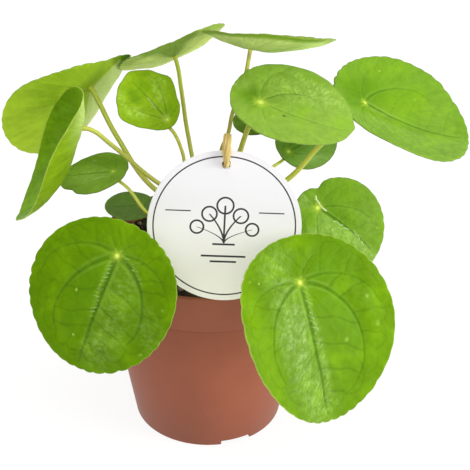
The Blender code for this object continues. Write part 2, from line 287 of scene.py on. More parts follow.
def makeLight():
    world = bpy.data.worlds.new("studio")
    world.use_nodes = True
    sky = world.node_tree.nodes["Background"]
    sky.inputs["Color"].default_value = (1.0, 1.0, 1.0, 1.0)
    sky.inputs["Strength"].default_value = light["sky"]
    bpy.context.scene.world = world
    bpy.context.scene.view_settings.view_transform = "Standard"
    middle = Vector(light["middle"])
    for box in light["boxes"]:
        data = bpy.data.lights.new(box["name"], "AREA")
        data.shape = "SQUARE"
        data.size = box["size"]
        data.energy = box["power"]
        lamp = placeObject(box["name"], data)
        lamp.location = middle + Vector(box["towards"]).normalized() * box["away"]
        lamp.rotation_euler = (middle - lamp.location).to_track_quat("-Z", "Y").to_euler()


def makeFloor():
    material, shader, wire = newMaterial("paleFloor", 0.9, 0.0)
    grey, half = ground["grey"], ground["half"]
    shader.inputs["Base Color"].default_value = (grey, grey, grey, 1.0)
    shader.inputs["Emission Color"].default_value = (1.0, 1.0, 1.0, 1.0)
    shader.inputs["Emission Strength"].default_value = ground["glow"]
    mesh = bpy.data.meshes.new("floor")
    corners = [(-half, -half, 0), (half, -half, 0), (half, half, 0), (-half, half, 0)]
    mesh.from_pydata(corners, [], [(0, 1, 2, 3)])
    mesh.materials.append(material)
    floor = placeObject("floor", mesh)
    floor.location.z = -ground["drop"]


makeCamera()
makeLight()
makeFloor()
print("camera, light and floor ready")


# Pot

# Millimetres and degrees; the skin's two shades make a faint cloud
pot = dict(height=109, top=60, foot=42, wall=1.2, lip=1.6, lipStep=0.9, band=87, bandRadius=57.2, bandStep=0.6,
           footWidth=2.5, footLift=3.2, pad=20, padSlope=2, drain=3, drainCircle=31, drains=6, drainDepth=6,
           drainSides=32, notches=3, notchFirst=-68, notchAngle=24, notchHeight=2.8, notchDepth=12, sides=192,
           sharpFrom=35, skin=[(0.270, 0.0715, 0.031), (0.304, 0.0825, 0.0375)], paintedFootShade=(0.03, 0.012, 0.007))


def roundedCorner(points, index, radius, count=4):
    # replaces one corner of a profile by a short arc
    before, corner, after = (np.array(points[i], float) for i in (index - 1, index, index + 1))
    first = corner + (before - corner) / np.linalg.norm(before - corner) * radius
    last = corner + (after - corner) / np.linalg.norm(after - corner) * radius
    arc = []
    for t in np.linspace(0, 1, count):
        arc.append(tuple((1 - t) ** 2 * first + 2 * t * (1 - t) * corner + t * t * last))
    return points[:index] + arc + points[index + 1:]


def turnedMesh(name, profile, sides):
    mesh = bpy.data.meshes.new(name)
    shape = bmesh.new()
    points = [shape.verts.new((radius * mm, 0, height * mm)) for radius, height in profile]
    edges = [shape.edges.new(pair) for pair in zip(points, points[1:])]
    bmesh.ops.spin(shape, geom=points + edges, cent=(0, 0, 0), axis=(0, 0, 1), angle=math.tau, steps=sides,
                   use_duplicate=False)
    bmesh.ops.remove_doubles(shape, verts=shape.verts, dist=1e-6)
    bmesh.ops.recalc_face_normals(shape, faces=shape.faces)
    shape.to_mesh(mesh)
    shape.free()
    return mesh


def potProfile():
    inner = pot["foot"] - pot["footWidth"]
    floor = pot["footLift"] + pot["wall"]
    lipInner = pot["top"] - pot["wall"] - pot["lipStep"]
    bandInner = pot["bandRadius"] - pot["bandStep"] - pot["wall"]
    points = [
        (0.0, 0.0), (pot["pad"], 0.0), (pot["pad"] + pot["padSlope"], pot["footLift"]),
        (inner - 0.4, pot["footLift"]), (inner, 0.0), (pot["foot"], 0.0),
        (pot["bandRadius"] - pot["bandStep"] - 0.1, pot["band"] - 1.5),
        (pot["bandRadius"] - pot["bandStep"] - 0.4, pot["band"] - 0.2), (pot["bandRadius"], pot["band"] + 0.3),
        (pot["top"] - pot["lipStep"], pot["height"] - pot["lip"] - 0.2),
        (pot["top"], pot["height"] - pot["lip"]), (pot["top"], pot["height"]),
        (lipInner, pot["height"]), (bandInner, pot["band"]), (pot["foot"] - pot["wall"], floor),
        (pot["pad"] + pot["padSlope"] - 0.4, floor), (pot["pad"] - 0.4, pot["wall"]), (0.0, pot["wall"]),
    ]
    # from the last corner to the first, so that the places of the others hold
    for index, radius in ((12, 0.45), (11, 0.55), (10, 0.4), (8, 0.25), (5, 0.35), (4, 0.3)):
        points = roundedCorner(points, index, radius)
    return points


def cutWith(target, shape, name):
    mesh = bpy.data.meshes.new(name)
    shape.to_mesh(mesh)
    shape.free()
    cutter = placeObject(name, mesh)
    boolean = target.modifiers.new(name, "BOOLEAN")
    boolean.object = cutter
    boolean.operation = "DIFFERENCE"
    return cutter


def potMaterial():
    material, shader, wire = newMaterial("terracottaPlastic", 0.5, 0.3)
    place = objectPlace(wire)
    x, y, height = (wire.node("ShaderNodeSeparateXYZ", None, {0: place}, out=i) for i in range(3))
    radius = (x * x + y * y) ** 0.5
    speckle = noiseAt(wire, place, 1400.0, 2.0)
    cloud = noiseAt(wire, place, 30.0, 3.0)
    colour = cloud.step(0.3, 0.7).mixColour(*pot["skin"])
    # painted shade: the lowest 50 mm of the pot are painted up to a sixth darker towards the floor
    colour = colour.tinted((0.93 + 0.14 * speckle) * (0.84 + 0.16 * height.step(0.0, 0.05)))
    # painted shade: the foot's underside and the faces of its notches are painted dark where shade falls
    foot, lift = pot["foot"] * mm, pot["footLift"] * mm
    paintedFootShade = (1 - radius.step(foot - 0.0012, foot - 0.0004)) * (1 - height.step(lift, lift + 0.0008))
    (paintedFootShade * 0.8).mixColour(colour, pot["paintedFootShade"]).into(shader, "Base Color")
    (0.44 + 0.14 * cloud).into(shader, "Roughness")
    bumpInto(wire, shader, speckle + 0.3 * cloud, 0.00006, 0.6)
    return material


def makePot():
    mesh = turnedMesh("nurseryPot", potProfile(), pot["sides"])
    made = placeObject("nurseryPot", mesh)
    mesh.materials.append(potMaterial())
    cutters = []
    for index in range(pot["notches"]):
        shape = bmesh.new()
        bmesh.ops.create_cube(shape, size=1.0)
        wide = 2 * pot["foot"] * math.sin(math.radians(pot["notchAngle"] / 2))
        block = Vector((pot["notchDepth"], wide, 2 * pot["notchHeight"]))
        bmesh.ops.scale(shape, vec=block * mm, verts=shape.verts)
        bmesh.ops.translate(shape, vec=(pot["foot"] * mm, 0, 0), verts=shape.verts)
        angle = math.radians(pot["notchFirst"]) + index * math.tau / pot["notches"]
        bmesh.ops.rotate(shape, matrix=Matrix.Rotation(angle, 3, "Z"), verts=shape.verts)
        cutters.append(cutWith(made, shape, f"notch{index}"))
    for index in range(pot["drains"]):
        shape = bmesh.new()
        radius = pot["drain"] * mm
        bmesh.ops.create_cone(shape, cap_ends=True, segments=pot["drainSides"], radius1=radius, radius2=radius,
                              depth=pot["drainDepth"] * mm)
        angle = math.radians(pot["notchFirst"]) + (index + 0.5) * math.tau / pot["drains"]
        place = Vector((math.cos(angle), math.sin(angle), 0)) * pot["drainCircle"] * mm
        bmesh.ops.translate(shape, vec=place + Vector((0, 0, pot["footLift"] * mm)), verts=shape.verts)
        cutters.append(cutWith(made, shape, f"drain{index}"))
    evaluated = made.evaluated_get(bpy.context.evaluated_depsgraph_get())
    finished = bpy.data.meshes.new_from_object(evaluated)
    made.modifiers.clear()
    made.data = finished
    for cutter in cutters:
        bpy.data.objects.remove(cutter, do_unlink=True)
    finished.shade_smooth()
    finished.set_sharp_from_angle(angle=math.radians(pot["sharpFrom"]))
    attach(made, "root")
    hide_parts("pot")


makePot()
print("pot ready")


# Soil and main stem

soil = dict(top=99, relief=1.3, rings=40, sides=160, gap=0.1, edgeDrop=1.5,
            mix=[(0.020, 0.014, 0.010), (0.070, 0.046, 0.030)], grit=(0.17, 0.13, 0.09))
crumb = dict(count=900, reach=55.5, stemGap=5.5, sizes=[0.6, 0.9, 1.3, 1.9], shares=[0.4, 0.3, 0.2, 0.1],
             shades=[(0.0, (0.020, 0.013, 0.009)), (0.45, (0.055, 0.033, 0.020)), (0.72, (0.14, 0.09, 0.055)),
                     (0.93, (0.19, 0.14, 0.09)), (1.0, (0.30, 0.25, 0.19))])
stem = dict(x=-2, foot=84, top=146, thick=4.2, thin=2.6, rows=90, sides=28, scarGap=5.5, unevenness=0.25,
            bark=[(0.11, 0.070, 0.035), (0.26, 0.18, 0.095)])


def soilHeight(x, y):
    wave = sum(math.sin(a * x + b * y + c) for a, b, c in ((0.17, 0.09, 0), (-0.11, 0.21, 1), (0.3, 0.04, 2)))
    grain = noise.noise(Vector((x * 0.45, y * 0.45, 3.0))) * 0.9 + noise.noise(Vector((x, y, 7.0))) * 0.5
    return soil["top"] + soil["relief"] * wave / 3 + grain


def soilMaterial():
    material, shader, wire = newMaterial("pottingSoil", 0.95, 0.2)
    place = objectPlace(wire)
    grain = noiseAt(wire, place, 500.0, 4.0, 0.7)
    clump = noiseAt(wire, place, 130.0, 3.0)
    colour = clump.step(0.35, 0.7).mixColour(*soil["mix"])
    grain.step(0.62, 0.72).mixColour(colour, soil["grit"]).into(shader, "Base Color")
    bumpInto(wire, shader, grain, 0.0015, 1.0)
    return material


def makeSoil(material):
    # uneven on top, and a plain filling that keeps clear of the pot's wall and floor
    lipInner = pot["top"] - pot["wall"] - pot["lipStep"]
    bandInner = pot["bandRadius"] - pot["bandStep"] - pot["wall"]
    share = (soil["top"] - pot["band"]) / (pot["height"] - pot["band"])
    radius = bandInner + (lipInner - bandInner) * share - soil["gap"]
    sides = soil["sides"]
    angle = np.linspace(0, math.tau, sides, endpoint=False)
    points = [(0, 0, soilHeight(0, 0))]
    for reach in np.linspace(0, 1, soil["rings"] + 1)[1:]:
        for a in angle:
            x, y = radius * reach * math.cos(a), radius * reach * math.sin(a)
            points.append((x, y, soilHeight(x, y) if reach < 1 else soil["top"] - soil["edgeDrop"]))
    floor = pot["footLift"] + pot["wall"] + 0.3
    filling = [(bandInner - 0.3, pot["band"]), (pot["foot"] - pot["wall"] - 0.4, floor), (0, floor)]
    for ringRadius, height in filling:
        points += [(ringRadius * math.cos(a), ringRadius * math.sin(a), height) for a in angle]
    faces = [(0, 1 + j, 1 + (j + 1) % sides) for j in range(sides)]
    for i in range(soil["rings"] + len(filling) - 1):
        faces += ringFaces(1 + i * sides, 1 + (i + 1) * sides, sides)
    addMesh("pottingMix", np.array(points) * mm, faces, material, "soil")


def makeCrumbs(material):
    shape = bmesh.new()
    shades = shape.verts.layers.float.new("shade")
    for _ in range(crumb["count"]):
        away = crumb["reach"] * math.sqrt(rng.uniform(0.01, 1))
        turn = rng.uniform(0, math.tau)
        x, y = away * math.cos(turn), away * math.sin(turn)
        if math.hypot(x - stem["x"], y) < crumb["stemGap"]:
            continue
        size = rng.choice(crumb["sizes"], p=crumb["shares"])
        made = bmesh.ops.create_icosphere(shape, subdivisions=2 if size > 1 else 1, radius=size)["verts"]
        stretch = rng.uniform(0.5, 1.3, 3)
        spin = Matrix.Rotation(rng.uniform(0, math.tau), 3, Vector(rng.normal(size=3)).normalized())
        shade = rng.uniform(0, 1)
        offset = rng.uniform(0, 90)
        for vertex in made:
            rough = 1 + 0.35 * noise.noise(vertex.co * 1.4 / size + Vector((offset, 0, 0)))
            vertex.co = spin @ Vector([c * s * rough for c, s in zip(vertex.co, stretch)])
            vertex.co += Vector((x, y, soilHeight(x, y) + 0.25 * size))
            vertex[shades] = shade
    bmesh.ops.scale(shape, vec=(mm, mm, mm), verts=shape.verts)
    mesh = bpy.data.meshes.new("soilCrumbs")
    shape.to_mesh(mesh)
    shape.free()
    mesh.shade_smooth()
    mesh.materials.append(material)
    crumbs = placeObject("soilCrumbs", mesh)
    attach(crumbs, "root")


def crumbMaterial():
    material, shader, wire = newMaterial("soilCrumb", 0.9, 0.2)
    grain = noiseAt(wire, objectPlace(wire), 1200.0, 3.0)
    colour = wire.node("ShaderNodeValToRGB", {"stops": crumb["shades"]}, {0: attribute(wire, "shade")})
    colour.tinted(0.7 + 0.6 * grain).into(shader, "Base Color")
    bumpInto(wire, shader, grain, 0.0005, 1.0)
    return material


def stemMaterial():
    material, shader, wire = newMaterial("stemBark", 0.85, 0.2)
    grain = noiseAt(wire, objectPlace(wire), 700.0, 4.0)
    grain.step(0.35, 0.65).mixColour(*stem["bark"]).into(shader, "Base Color")
    bumpInto(wire, shader, grain, 0.0008, 1.0)
    return material


def makeStem(material):
    heights = np.linspace(stem["foot"], stem["top"], stem["rows"])
    share = np.clip((heights - soil["top"]) / (stem["top"] - soil["top"]), 0, 1)
    radius = stem["thick"] + (stem["thin"] - stem["thick"]) * share
    radius = radius + stem["unevenness"] * np.abs(np.sin(heights / stem["scarGap"] * math.pi)) ** 6
    radius[-4:] *= np.array([0.97, 0.88, 0.7, 0.35])  # the rounded top
    route = np.column_stack([np.full(stem["rows"], stem["x"]), np.zeros(stem["rows"]), heights])
    points, faces = tube(route, radius, stem["sides"])
    for point in points:
        side = Vector((point[0] - stem["x"], point[1], 0))
        push = stem["unevenness"] * noise.noise(Vector(point) * 0.5)
        point[:2] += np.array(side.normalized()[:2]) * push if side.length else 0
    addMesh("woodyStem", points * mm, faces, material, "main_stem")


makeSoil(soilMaterial())
makeCrumbs(crumbMaterial())
makeStem(stemMaterial())
print("soil and stem ready")


# Leaves: places and sizes close to those of the solids, in millimetres and degrees

def patch(along, across, sizes, turn, sheenShade, face="upper", hard=1.4):
    # an oval on one face: its strength is above 0 where painted sheen makes it lighter and pebbly, below 0
    # where painted shade makes it deeper
    return dict(face=face, at=(along, across), sizes=sizes, turn=turn, sheenShade=sheenShade, hard=hard)


def sector(start, end, soft, sheenShade, face="upper"):
    # the part of one face between two bearings from the spot
    return dict(face=face, start=start, end=end, soft=soft, sheenShade=sheenShade)


def hem(start, sheenShade, face="upper"):
    # a band along the margin of one face, from this share of the way out
    return dict(face=face, hem=start, sheenShade=sheenShade)


# A vein is (bearing at the spot, bearing at its end, how far it reaches, strength), from one side to the other
plainVeins = [(-150, -138, 0.6, 0.3), (-100, -72, 0.82, 0.35), (-48, -26, 0.86, 0.45), (0, 0, 0.93, 0.8),
              (48, 26, 0.86, 0.45), (100, 72, 0.82, 0.35), (150, 138, 0.6, 0.3)]

# What a leaf has when its own row doesn't say otherwise
usualLeaf = dict(veins=plainVeins, detail=2, seen="upper", veinWide=1, spotScale=1.0, grain=0, tickTurn=0,
                 tuck=0, lit=1.0, brown=0.15, dents=[], zones=[], fresh=[], ticks=[], dots=[], scars=[])

# spot, heading, tilt, turn: where the stalk joins the blade, and how the blade lies
# length, width, seat, egg, bow, cup: its size, the spot's share of the length, a wider foot, and its two bends
# root, stalk, via: the stalk's height on the stem, its radius and where it passes; lit: its stalk painted
# lighter or darker for the light it gets (painted light and shade); brown: its tan
# lobes, scallop, dents: the margin's lobes and (bearing, width, depth) of its hollows; tuck: a fold's depth
# upper, under, rim, net, ribs, satin, fine: colours, a pale or dark margin, fine veins, rays, gloss and relief;
# the colours are each leaf's own green, set lighter or darker for the light it gets as painted light and shade,
# and satin also sets how patchy the painted sheen is
# veinWide, spotScale, grain, tickTurn: how wide its veins and spot are, and how its two patterns are turned
# ticks: (vein, side, reach); dots: (along, across, radius, strength); scars: (strength, half width, path)
leaves = [
    dict(name="front_left", spot=(-43, -78, 145.5), heading=-107, tilt=58, turn=-15, length=75.5, width=74.5,
         seat=0.22, egg=0.08, bow=-6, cup=1.5,
         root=110, stalk=1.3, via=[(-16, -24, 120), (-44, -50, 135)],
         upper=(0.108, 0.238, 0.0), under=(0.30, 0.52, 0.10), detail=3, lobes=37, scallop=1.0, rim=0.25,
         net=1.0, ribs=0.4, satin=1.0, fine=1.0, veinWide=1.5, spotScale=0.9, grain=-35, tickTurn=20,
         veins=[(-152, -128, 0.62, 0.3), (-108, -60, 0.88, 0.5), (-58, -19, 0.85, 0.7), (0, 0, 0.94, 1.0),
                (80, 28, 0.79, 0.9), (112, 76, 0.8, 0.45), (160, 140, 0.6, 0.3)],
         ticks=[(3, -1, 0.6), (4, 1, 0.48)],
         zones=[patch(28, 10, (22, 7), 6, 0.65), patch(46, 4, (8, 6), 0, 0.5), patch(27, 29, (12, 6), 35, 0.4),
                patch(24, -8, (24, 5), 0, -0.7)],
         fresh=[patch(12, -25, (7, 6), 0, 0.3), patch(-8, 4, (10, 18), 0, 0.25)],
         dents=[(-30, 55, -0.03)],
         dots=[(22.9, -12.5, 0.6, 0.7), (44.2, -6.4, 0.55, 0.7), (38.6, 28.6, 0.5, 0.6)]),
    dict(name="front_right", spot=(43.5, -85, 135), heading=-58, tilt=49, turn=5, length=91, width=83.5,
         seat=0.25, egg=0.05, bow=-7, cup=6,
         root=107, stalk=1.4, via=[(18, -30, 116), (50, -52, 127), (50, -68, 130)],
         upper=(0.116, 0.246, 0.002), under=(0.30, 0.52, 0.10), detail=3, lobes=39, scallop=0.75, rim=0.5,
         net=1.1, ribs=0.5, satin=0.85, fine=1.0, veinWide=1.3, spotScale=0.85, grain=-71, tickTurn=-50,
         veins=[(-152, -140, 0.55, 0.3), (-115, -82, 0.8, 0.4), (-83, -35, 0.82, 0.8), (-11, -7, 0.95, 1.0),
                (71, 4, 0.87, 0.8), (98, 58, 0.84, 0.45), (140, 122, 0.6, 0.3)],
         ticks=[(3, 1, 0.5)],
         zones=[patch(22, -13, (30, 9), -10, 0.8), patch(34, -3, (27, 1.7), -9, 0.7),
                patch(57, -12, (13, 9), 0, 0.8), patch(-14, -8, (6, 11), 15, 0.5),
                patch(-4, 20, (10, 12), 0, -0.8), patch(20, 11, (20, 9), 20, -0.55)],
         fresh=[patch(14, -33, (32, 5), -6, 0.5), patch(36, 32, (20, 6), -20, 0.3),
                patch(-18, 8, (6, 3), 80, 0.5)],
         dents=[(-5, 45, -0.025)],
         dots=[(19, 30, 1.0, 0.3), (33, 30.5, 1.0, 0.32), (34, 12, 1.1, 0.28), (-7.5, -21.3, 0.5, 0.6)]),
    dict(name="centre", spot=(26, -20, 199), heading=-59, tilt=19, turn=65, length=64, width=59.5, seat=0.24,
         egg=0.02, bow=-4, cup=3.5,
         root=128, stalk=1.35, via=[(16, -13.5, 168), (20.5, -17, 184.5)],
         upper=(0.222, 0.385, 0.042), under=(0.32, 0.55, 0.10), lobes=32, scallop=0.4, rim=-0.3, net=0.25,
         ribs=0.4, satin=1.0, fine=0.9, spotScale=1.25,
         veins=[(-152, -140, 0.6, 0.2), (-92, -78, 0.8, 0.25), (-30, -14, 0.93, 0.5), (45, 12, 0.62, 0.75),
                (88, 62, 0.8, 0.25), (132, 116, 0.6, 0.2)],
         zones=[sector(-150, -22, 14, 0.1), patch(32, 15, (16, 4), -38, 0.5), patch(22, 12, (17, 9), -20, 0.8),
                patch(-9, 12, (5, 4), 0, 0.9), patch(-5, 5, (6, 8), 10, -1.0),
                patch(14, 21, (12, 3), -10, -0.3)],
         dents=[(-17, 7, -0.035), (62, 26, -0.04)],
         dots=[(10.7, -9.2, 0.9, -1.0)]),
    dict(name="right", spot=(82.5, 16, 183), heading=-30, tilt=35, turn=29, length=81, width=76, seat=0.25,
         egg=-0.02, bow=6, cup=14,
         root=124, stalk=1.45, via=[(42, 3, 144), (59, 8.5, 161.5)], lit=1.15,
         upper=(0.158, 0.315, 0.020), under=(0.32, 0.55, 0.10), lobes=36, scallop=1.0, rim=-0.4, net=0.45,
         ribs=0.7, satin=0.25, fine=0.9, veinWide=1.15, spotScale=0.75,
         veins=[(-152, -140, 0.6, 0.2), (-105, -88, 0.8, 0.25), (-52, -36, 0.8, 0.3), (-7, 0, 0.93, 1.0),
                (72, 28, 0.76, 0.65), (108, 86, 0.8, 0.3), (148, 136, 0.6, 0.2)],
         zones=[sector(-184, -2, 5, 0.5), patch(0, 9, (12, 8), 20, -0.9), patch(-9, -1, (8, 8), 0, -1.0),
                patch(20, -5, (24, 3), 3, -0.6), patch(43, 14, (10, 14), 0, 0.25),
                patch(12, 18, (22, 8), 10, -0.2)],
         fresh=[patch(22, 12, (20, 9), 15, 0.5), patch(8, 28, (14, 6), 20, 0.35)],
         dents=[(-66, 24, 0.035), (-128, 10, 0.06), (60, 14, -0.03)],
         dots=[(6, 26, 0.6, 0.4)]),
    dict(name="mid_right", spot=(56, -28, 144), heading=-75, tilt=72, turn=35, length=54.5, width=53, seat=0.21,
         egg=0.08, bow=0, cup=7,
         root=117, stalk=1.1, via=[(36, -8, 131)],
         upper=(0.160, 0.310, 0.020), under=(0.30, 0.52, 0.10), detail=3, lobes=30, scallop=0.7, rim=-0.3,
         net=0.5, ribs=0.4, satin=0.5, fine=0.9, spotScale=0.85,
         veins=[(-152, -140, 0.6, 0.2), (-95, -80, 0.8, 0.3), (-45, -30, 0.8, 0.3), (18, 11, 0.88, 0.9),
                (60, 34, 0.8, 0.45), (108, 90, 0.8, 0.3), (152, 150, 0.5, 0.3)],
         zones=[sector(-172, 12, 4, 1.0), patch(11, 6, (11, 4), 20, -0.9), patch(0, -11, (7, 9), 0, -1.2),
                patch(-1, 11, (9, 6), 20, -0.5), patch(24, 15, (8, 12), 20, 0.3)],
         fresh=[patch(0, 13, (9, 6), 30, 0.25)],
         dents=[(166, 7, 0.10)],
         scars=[(0.85, 0.28, [(-5.5, 3.0), (-3.8, 2.2), (-1.7, 2.1), (1.0, 1.8), (4.3, 2.4)]),
                (0.5, 0.16, [(-4.8, 1.6), (-2.8, 2.2)]),
                (0.4, 0.16, [(11.2, 1.9), (12.4, 3.2), (15.4, 3.5), (16.4, 4.6)]),
                (0.45, 0.15, [(17.6, 3.9), (20.4, 5.6)]),
                (0.4, 0.16, [(22.4, 7.4), (24.6, 6.6), (26.4, 7.2), (28.6, 6.4)]),
                (0.4, 0.17, [(30, 6.9), (32.6, 6.1)])]),
    dict(name="upper_left", spot=(-63, 28, 187), heading=130, tilt=57, turn=4, length=86, width=82.5, seat=0.25,
         egg=0.02, bow=2, cup=18,
         root=128, stalk=1.35, via=[(-27.5, 3, 137.5), (-48.5, 16, 163)],
         upper=(0.13, 0.28, 0.010), under=(0.40, 0.60, 0.028), seen="under", lobes=37, scallop=0.7, rim=-0.2,
         net=0.4, ribs=0.7, satin=0.3, fine=0.7,
         veins=[(-131, -131, 0.95, 0.9), (-80, -68, 0.8, 0.3), (-26, -22, 0.9, 0.4), (20, 15, 0.85, 0.4),
                (62, 52, 0.85, 0.35), (106, 98, 0.85, 0.35), (158, 160, 0.8, 0.3)],
         zones=[sector(-140, -18, 4, 1.0, "under"), patch(-16.5, -21.5, (10, 5.5), -32, -2.0, "under", 4),
                patch(-9, 1, (9, 4), 15, -0.4, "under"), patch(-17, 14, (8, 22), 0, -0.3, "under"),
                patch(-4, 25, (22, 7), 53, -0.3, "under")]),
    dict(name="folded_left", spot=(-63.5, -10, 180), heading=-175, tilt=81, turn=0, length=82, width=75,
         seat=0.25, egg=0.16, bow=16, cup=24,
         root=133, stalk=1.2, via=[(-25.5, -4.5, 145.5), (-50, -7.5, 170)], lit=0.84, tuck=4.2,
         upper=(0.134, 0.284, 0.001), under=(0.187, 0.318, 0.006), seen="both", lobes=36, scallop=0.25,
         rim=0.55, net=0.4, ribs=1.0, satin=0.4, fine=0.8,
         zones=[patch(10, -8, (18, 12), 0, -0.5), patch(-8, 0, (17, 16), 0, 0.6, "under"),
                patch(56, 0, (9, 20), 0, 0.65, "under"), patch(52, 0, (13, 20), 0, 0.45)],
         dents=[(12, 12, -0.06), (178, 18, 0.10)]),
    dict(name="top_left", spot=(-18.5, 49.5, 196), heading=131, tilt=35, turn=148, length=66, width=61,
         seat=0.31, egg=0.06, bow=2, cup=9,
         root=139, stalk=1.15, via=[(-11, 23.5, 162), (-14.5, 38, 181)], lit=0.93,
         upper=(0.14, 0.30, 0.012), under=(0.70, 0.87, 0.20), seen="under", lobes=32, scallop=0.7, rim=-0.5,
         net=0.3, ribs=1.3, satin=0.3, fine=0.7,
         zones=[sector(-24, 14, 9, -1.0, "under"), hem(0.72, -0.5, "under"),
                patch(10, 2, (16, 9), 30, -0.3, "under"), sector(98, 292, 8, 0.6, "under")]),
    dict(name="top_right", spot=(21.5, 6, 217.3), heading=67, tilt=27, turn=-33, length=73, width=67, seat=0.34,
         egg=0.03, bow=12.5, cup=14,
         root=134, stalk=1.05, via=[(7, -1, 163.5), (10.5, 0.5, 172.5), (12.4, 1.6, 182.5), (19, 4, 203)],
         lit=0.82, brown=0.8,
         upper=(0.30, 0.46, 0.03), under=(0.545, 0.68, 0.195), seen="under", lobes=32, scallop=0.9, rim=-0.5,
         net=0.3, ribs=1.1, satin=0.3, fine=0.7,
         zones=[hem(0.8, -1.0, "under"), patch(10, 2, (26, 8), 0, -0.15, "under"),
                patch(30, -20, (11, 9), 0, 1.0, "under")]),
    dict(name="young", spot=(-21, 2, 179.5), heading=-70, tilt=45, turn=-148, length=34, width=32.5, seat=0.10,
         egg=0, bow=0, cup=0,
         root=141, stalk=0.95, via=[(-13.5, 3, 160.5), (-17, 3.3, 170)], lit=1.12,
         upper=(0.262, 0.445, 0.010), under=(0.32, 0.55, 0.10), detail=1, lobes=18, scallop=0.35, rim=-0.6,
         net=0.9, ribs=0.6, satin=1.05, fine=0.9, spotScale=0.55,
         veins=[(-88, -75, 0.8, 0.35), (-40, -30, 0.8, 0.55), (-4, -2, 0.85, 0.8), (34, 28, 0.8, 0.55),
                (84, 70, 0.8, 0.35), (150, 150, 0.5, 0.2)],
         zones=[patch(18.3, -11.7, (4.5, 2.6), 20, 0.9), patch(13, -7, (5.5, 2.2), -20, 1.2),
                patch(14, 9.7, (5.5, 3.2), 23, 1.1), patch(24.5, 10, (3.2, 2.2), -45, 0.9),
                patch(20, 4.5, (5, 2.8), -20, -0.9), patch(22, -4, (4, 2.2), 10, -0.5),
                patch(4, -4, (3, 3), 0, -0.4)],
         dents=[(-84, 14, -0.13), (-48, 14, -0.05), (-12, 16, -0.10), (22, 12, -0.03), (50, 12, -0.03),
                (80, 16, -0.13), (132, 20, 0.08), (-120, 14, 0.06), (180, 22, -0.06)],
         dots=[(1.2, 0, 2.4, 0.35)],
         scars=[(0.4, 0.22, [(15.5, -0.8), (12, -0.5), (8, 0.2)]), (0.3, 0.16, [(13.5, 1.0), (10, 1.2)])]),
    dict(name="small_left", spot=(-51, 10, 145.5), heading=-152, tilt=16, turn=-40, length=39, width=36,
         seat=0.21, egg=0.08, bow=0, cup=0,
         root=115, stalk=0.9, via=[(-31, 1, 123.5), (-43, 6.5, 137)], lit=1.25,
         upper=(0.275, 0.45, 0.058), under=(0.28, 0.50, 0.10), detail=1, lobes=22, scallop=0.5, rim=-0.7,
         net=0.3, ribs=0.5, satin=0.5, fine=0.7, spotScale=0.75,
         zones=[patch(20, -3, (8, 6), 20, 0.6), patch(17, 6, (12, 5), 20, 0.7),
                patch(6, -9, (9, 4), -10, -0.55), patch(2, 8, (8, 3), 0, -0.2)],
         dents=[(60, 9, 0.10), (-96, 18, -0.06)],
         scars=[(0.5, 0.25, [(12.6, -12), (15, -11.2)]), (0.3, 0.25, [(16, -10.6), (18, -10)]),
                (0.28, 0.3, [(3, 3.6), (10, 5.6)])]),
    dict(name="low_left", spot=(-37.5, 18, 120.5), heading=-77, tilt=9, turn=-96, length=28, width=26,
         seat=0.30, egg=0.04, bow=0, cup=0,
         root=109, stalk=0.8, via=[(-23, 10, 112)],
         upper=(0.165, 0.260, 0.070), under=(0.22, 0.42, 0.10), detail=1, lobes=18, scallop=0.4, rim=-0.5,
         net=0.3, ribs=0.6, satin=0.5, fine=0.6, spotScale=0.6),
    dict(name="small_right", spot=(44, 25, 150), heading=-82, tilt=33, turn=116, length=35, width=33, seat=0.15,
         egg=0.08, bow=0, cup=0,
         root=129, stalk=0.9, via=[(22, 11, 137), (35, 18.5, 143.5)], lit=1.2,
         upper=(0.255, 0.44, 0.085), under=(0.25, 0.46, 0.10), detail=1, lobes=20, scallop=0.5, rim=-0.7,
         net=0.3, ribs=0.5, satin=0.6, fine=0.6, spotScale=0.7,
         zones=[patch(4, 2, (9, 6), 0, -1.0), patch(8, -10, (9, 3.5), -20, 1.0)]),
    dict(name="back", spot=(23, 40, 160.5), heading=-119, tilt=16, turn=147, length=29, width=27, seat=0.30,
         egg=0.05, bow=0, cup=0,
         root=137, stalk=0.85, via=[(16, 14, 150.5), (20.3, 31, 155.5)],
         upper=(0.135, 0.235, 0.020), under=(0.25, 0.46, 0.10), detail=1, lobes=18, scallop=0.4, rim=-0.7,
         net=0.3, ribs=0.4, satin=0.5, fine=0.6, spotScale=0.7),
]

# Millimetres: the thickness and its rim as they stand, the relief for a leaf of this length
blade = dict(length=80, thickness=0.7, rim=0.35, scallop=0.85, groove=0.28, bulge=1.0, quilt=0.16, pucker=0.42,
             wave=0.45, turnedDown=0.6, rib=0.22)

# For each level of detail: points round the leaf, rings on the face that shows and rings on the other face
detailLevels = {1: (150, 36, 12), 2: (300, 66, 18), 3: (460, 104, 18)}


def leafPlacement(leaf):
    turn = Matrix.Rotation(math.radians(leaf["heading"]), 4, "Z")
    turn = turn @ Matrix.Rotation(math.radians(leaf["tilt"]), 4, "Y")
    turn = turn @ Matrix.Rotation(math.radians(leaf["turn"]), 4, "Z")
    return Matrix.Translation(Vector(leaf["spot"])) @ turn


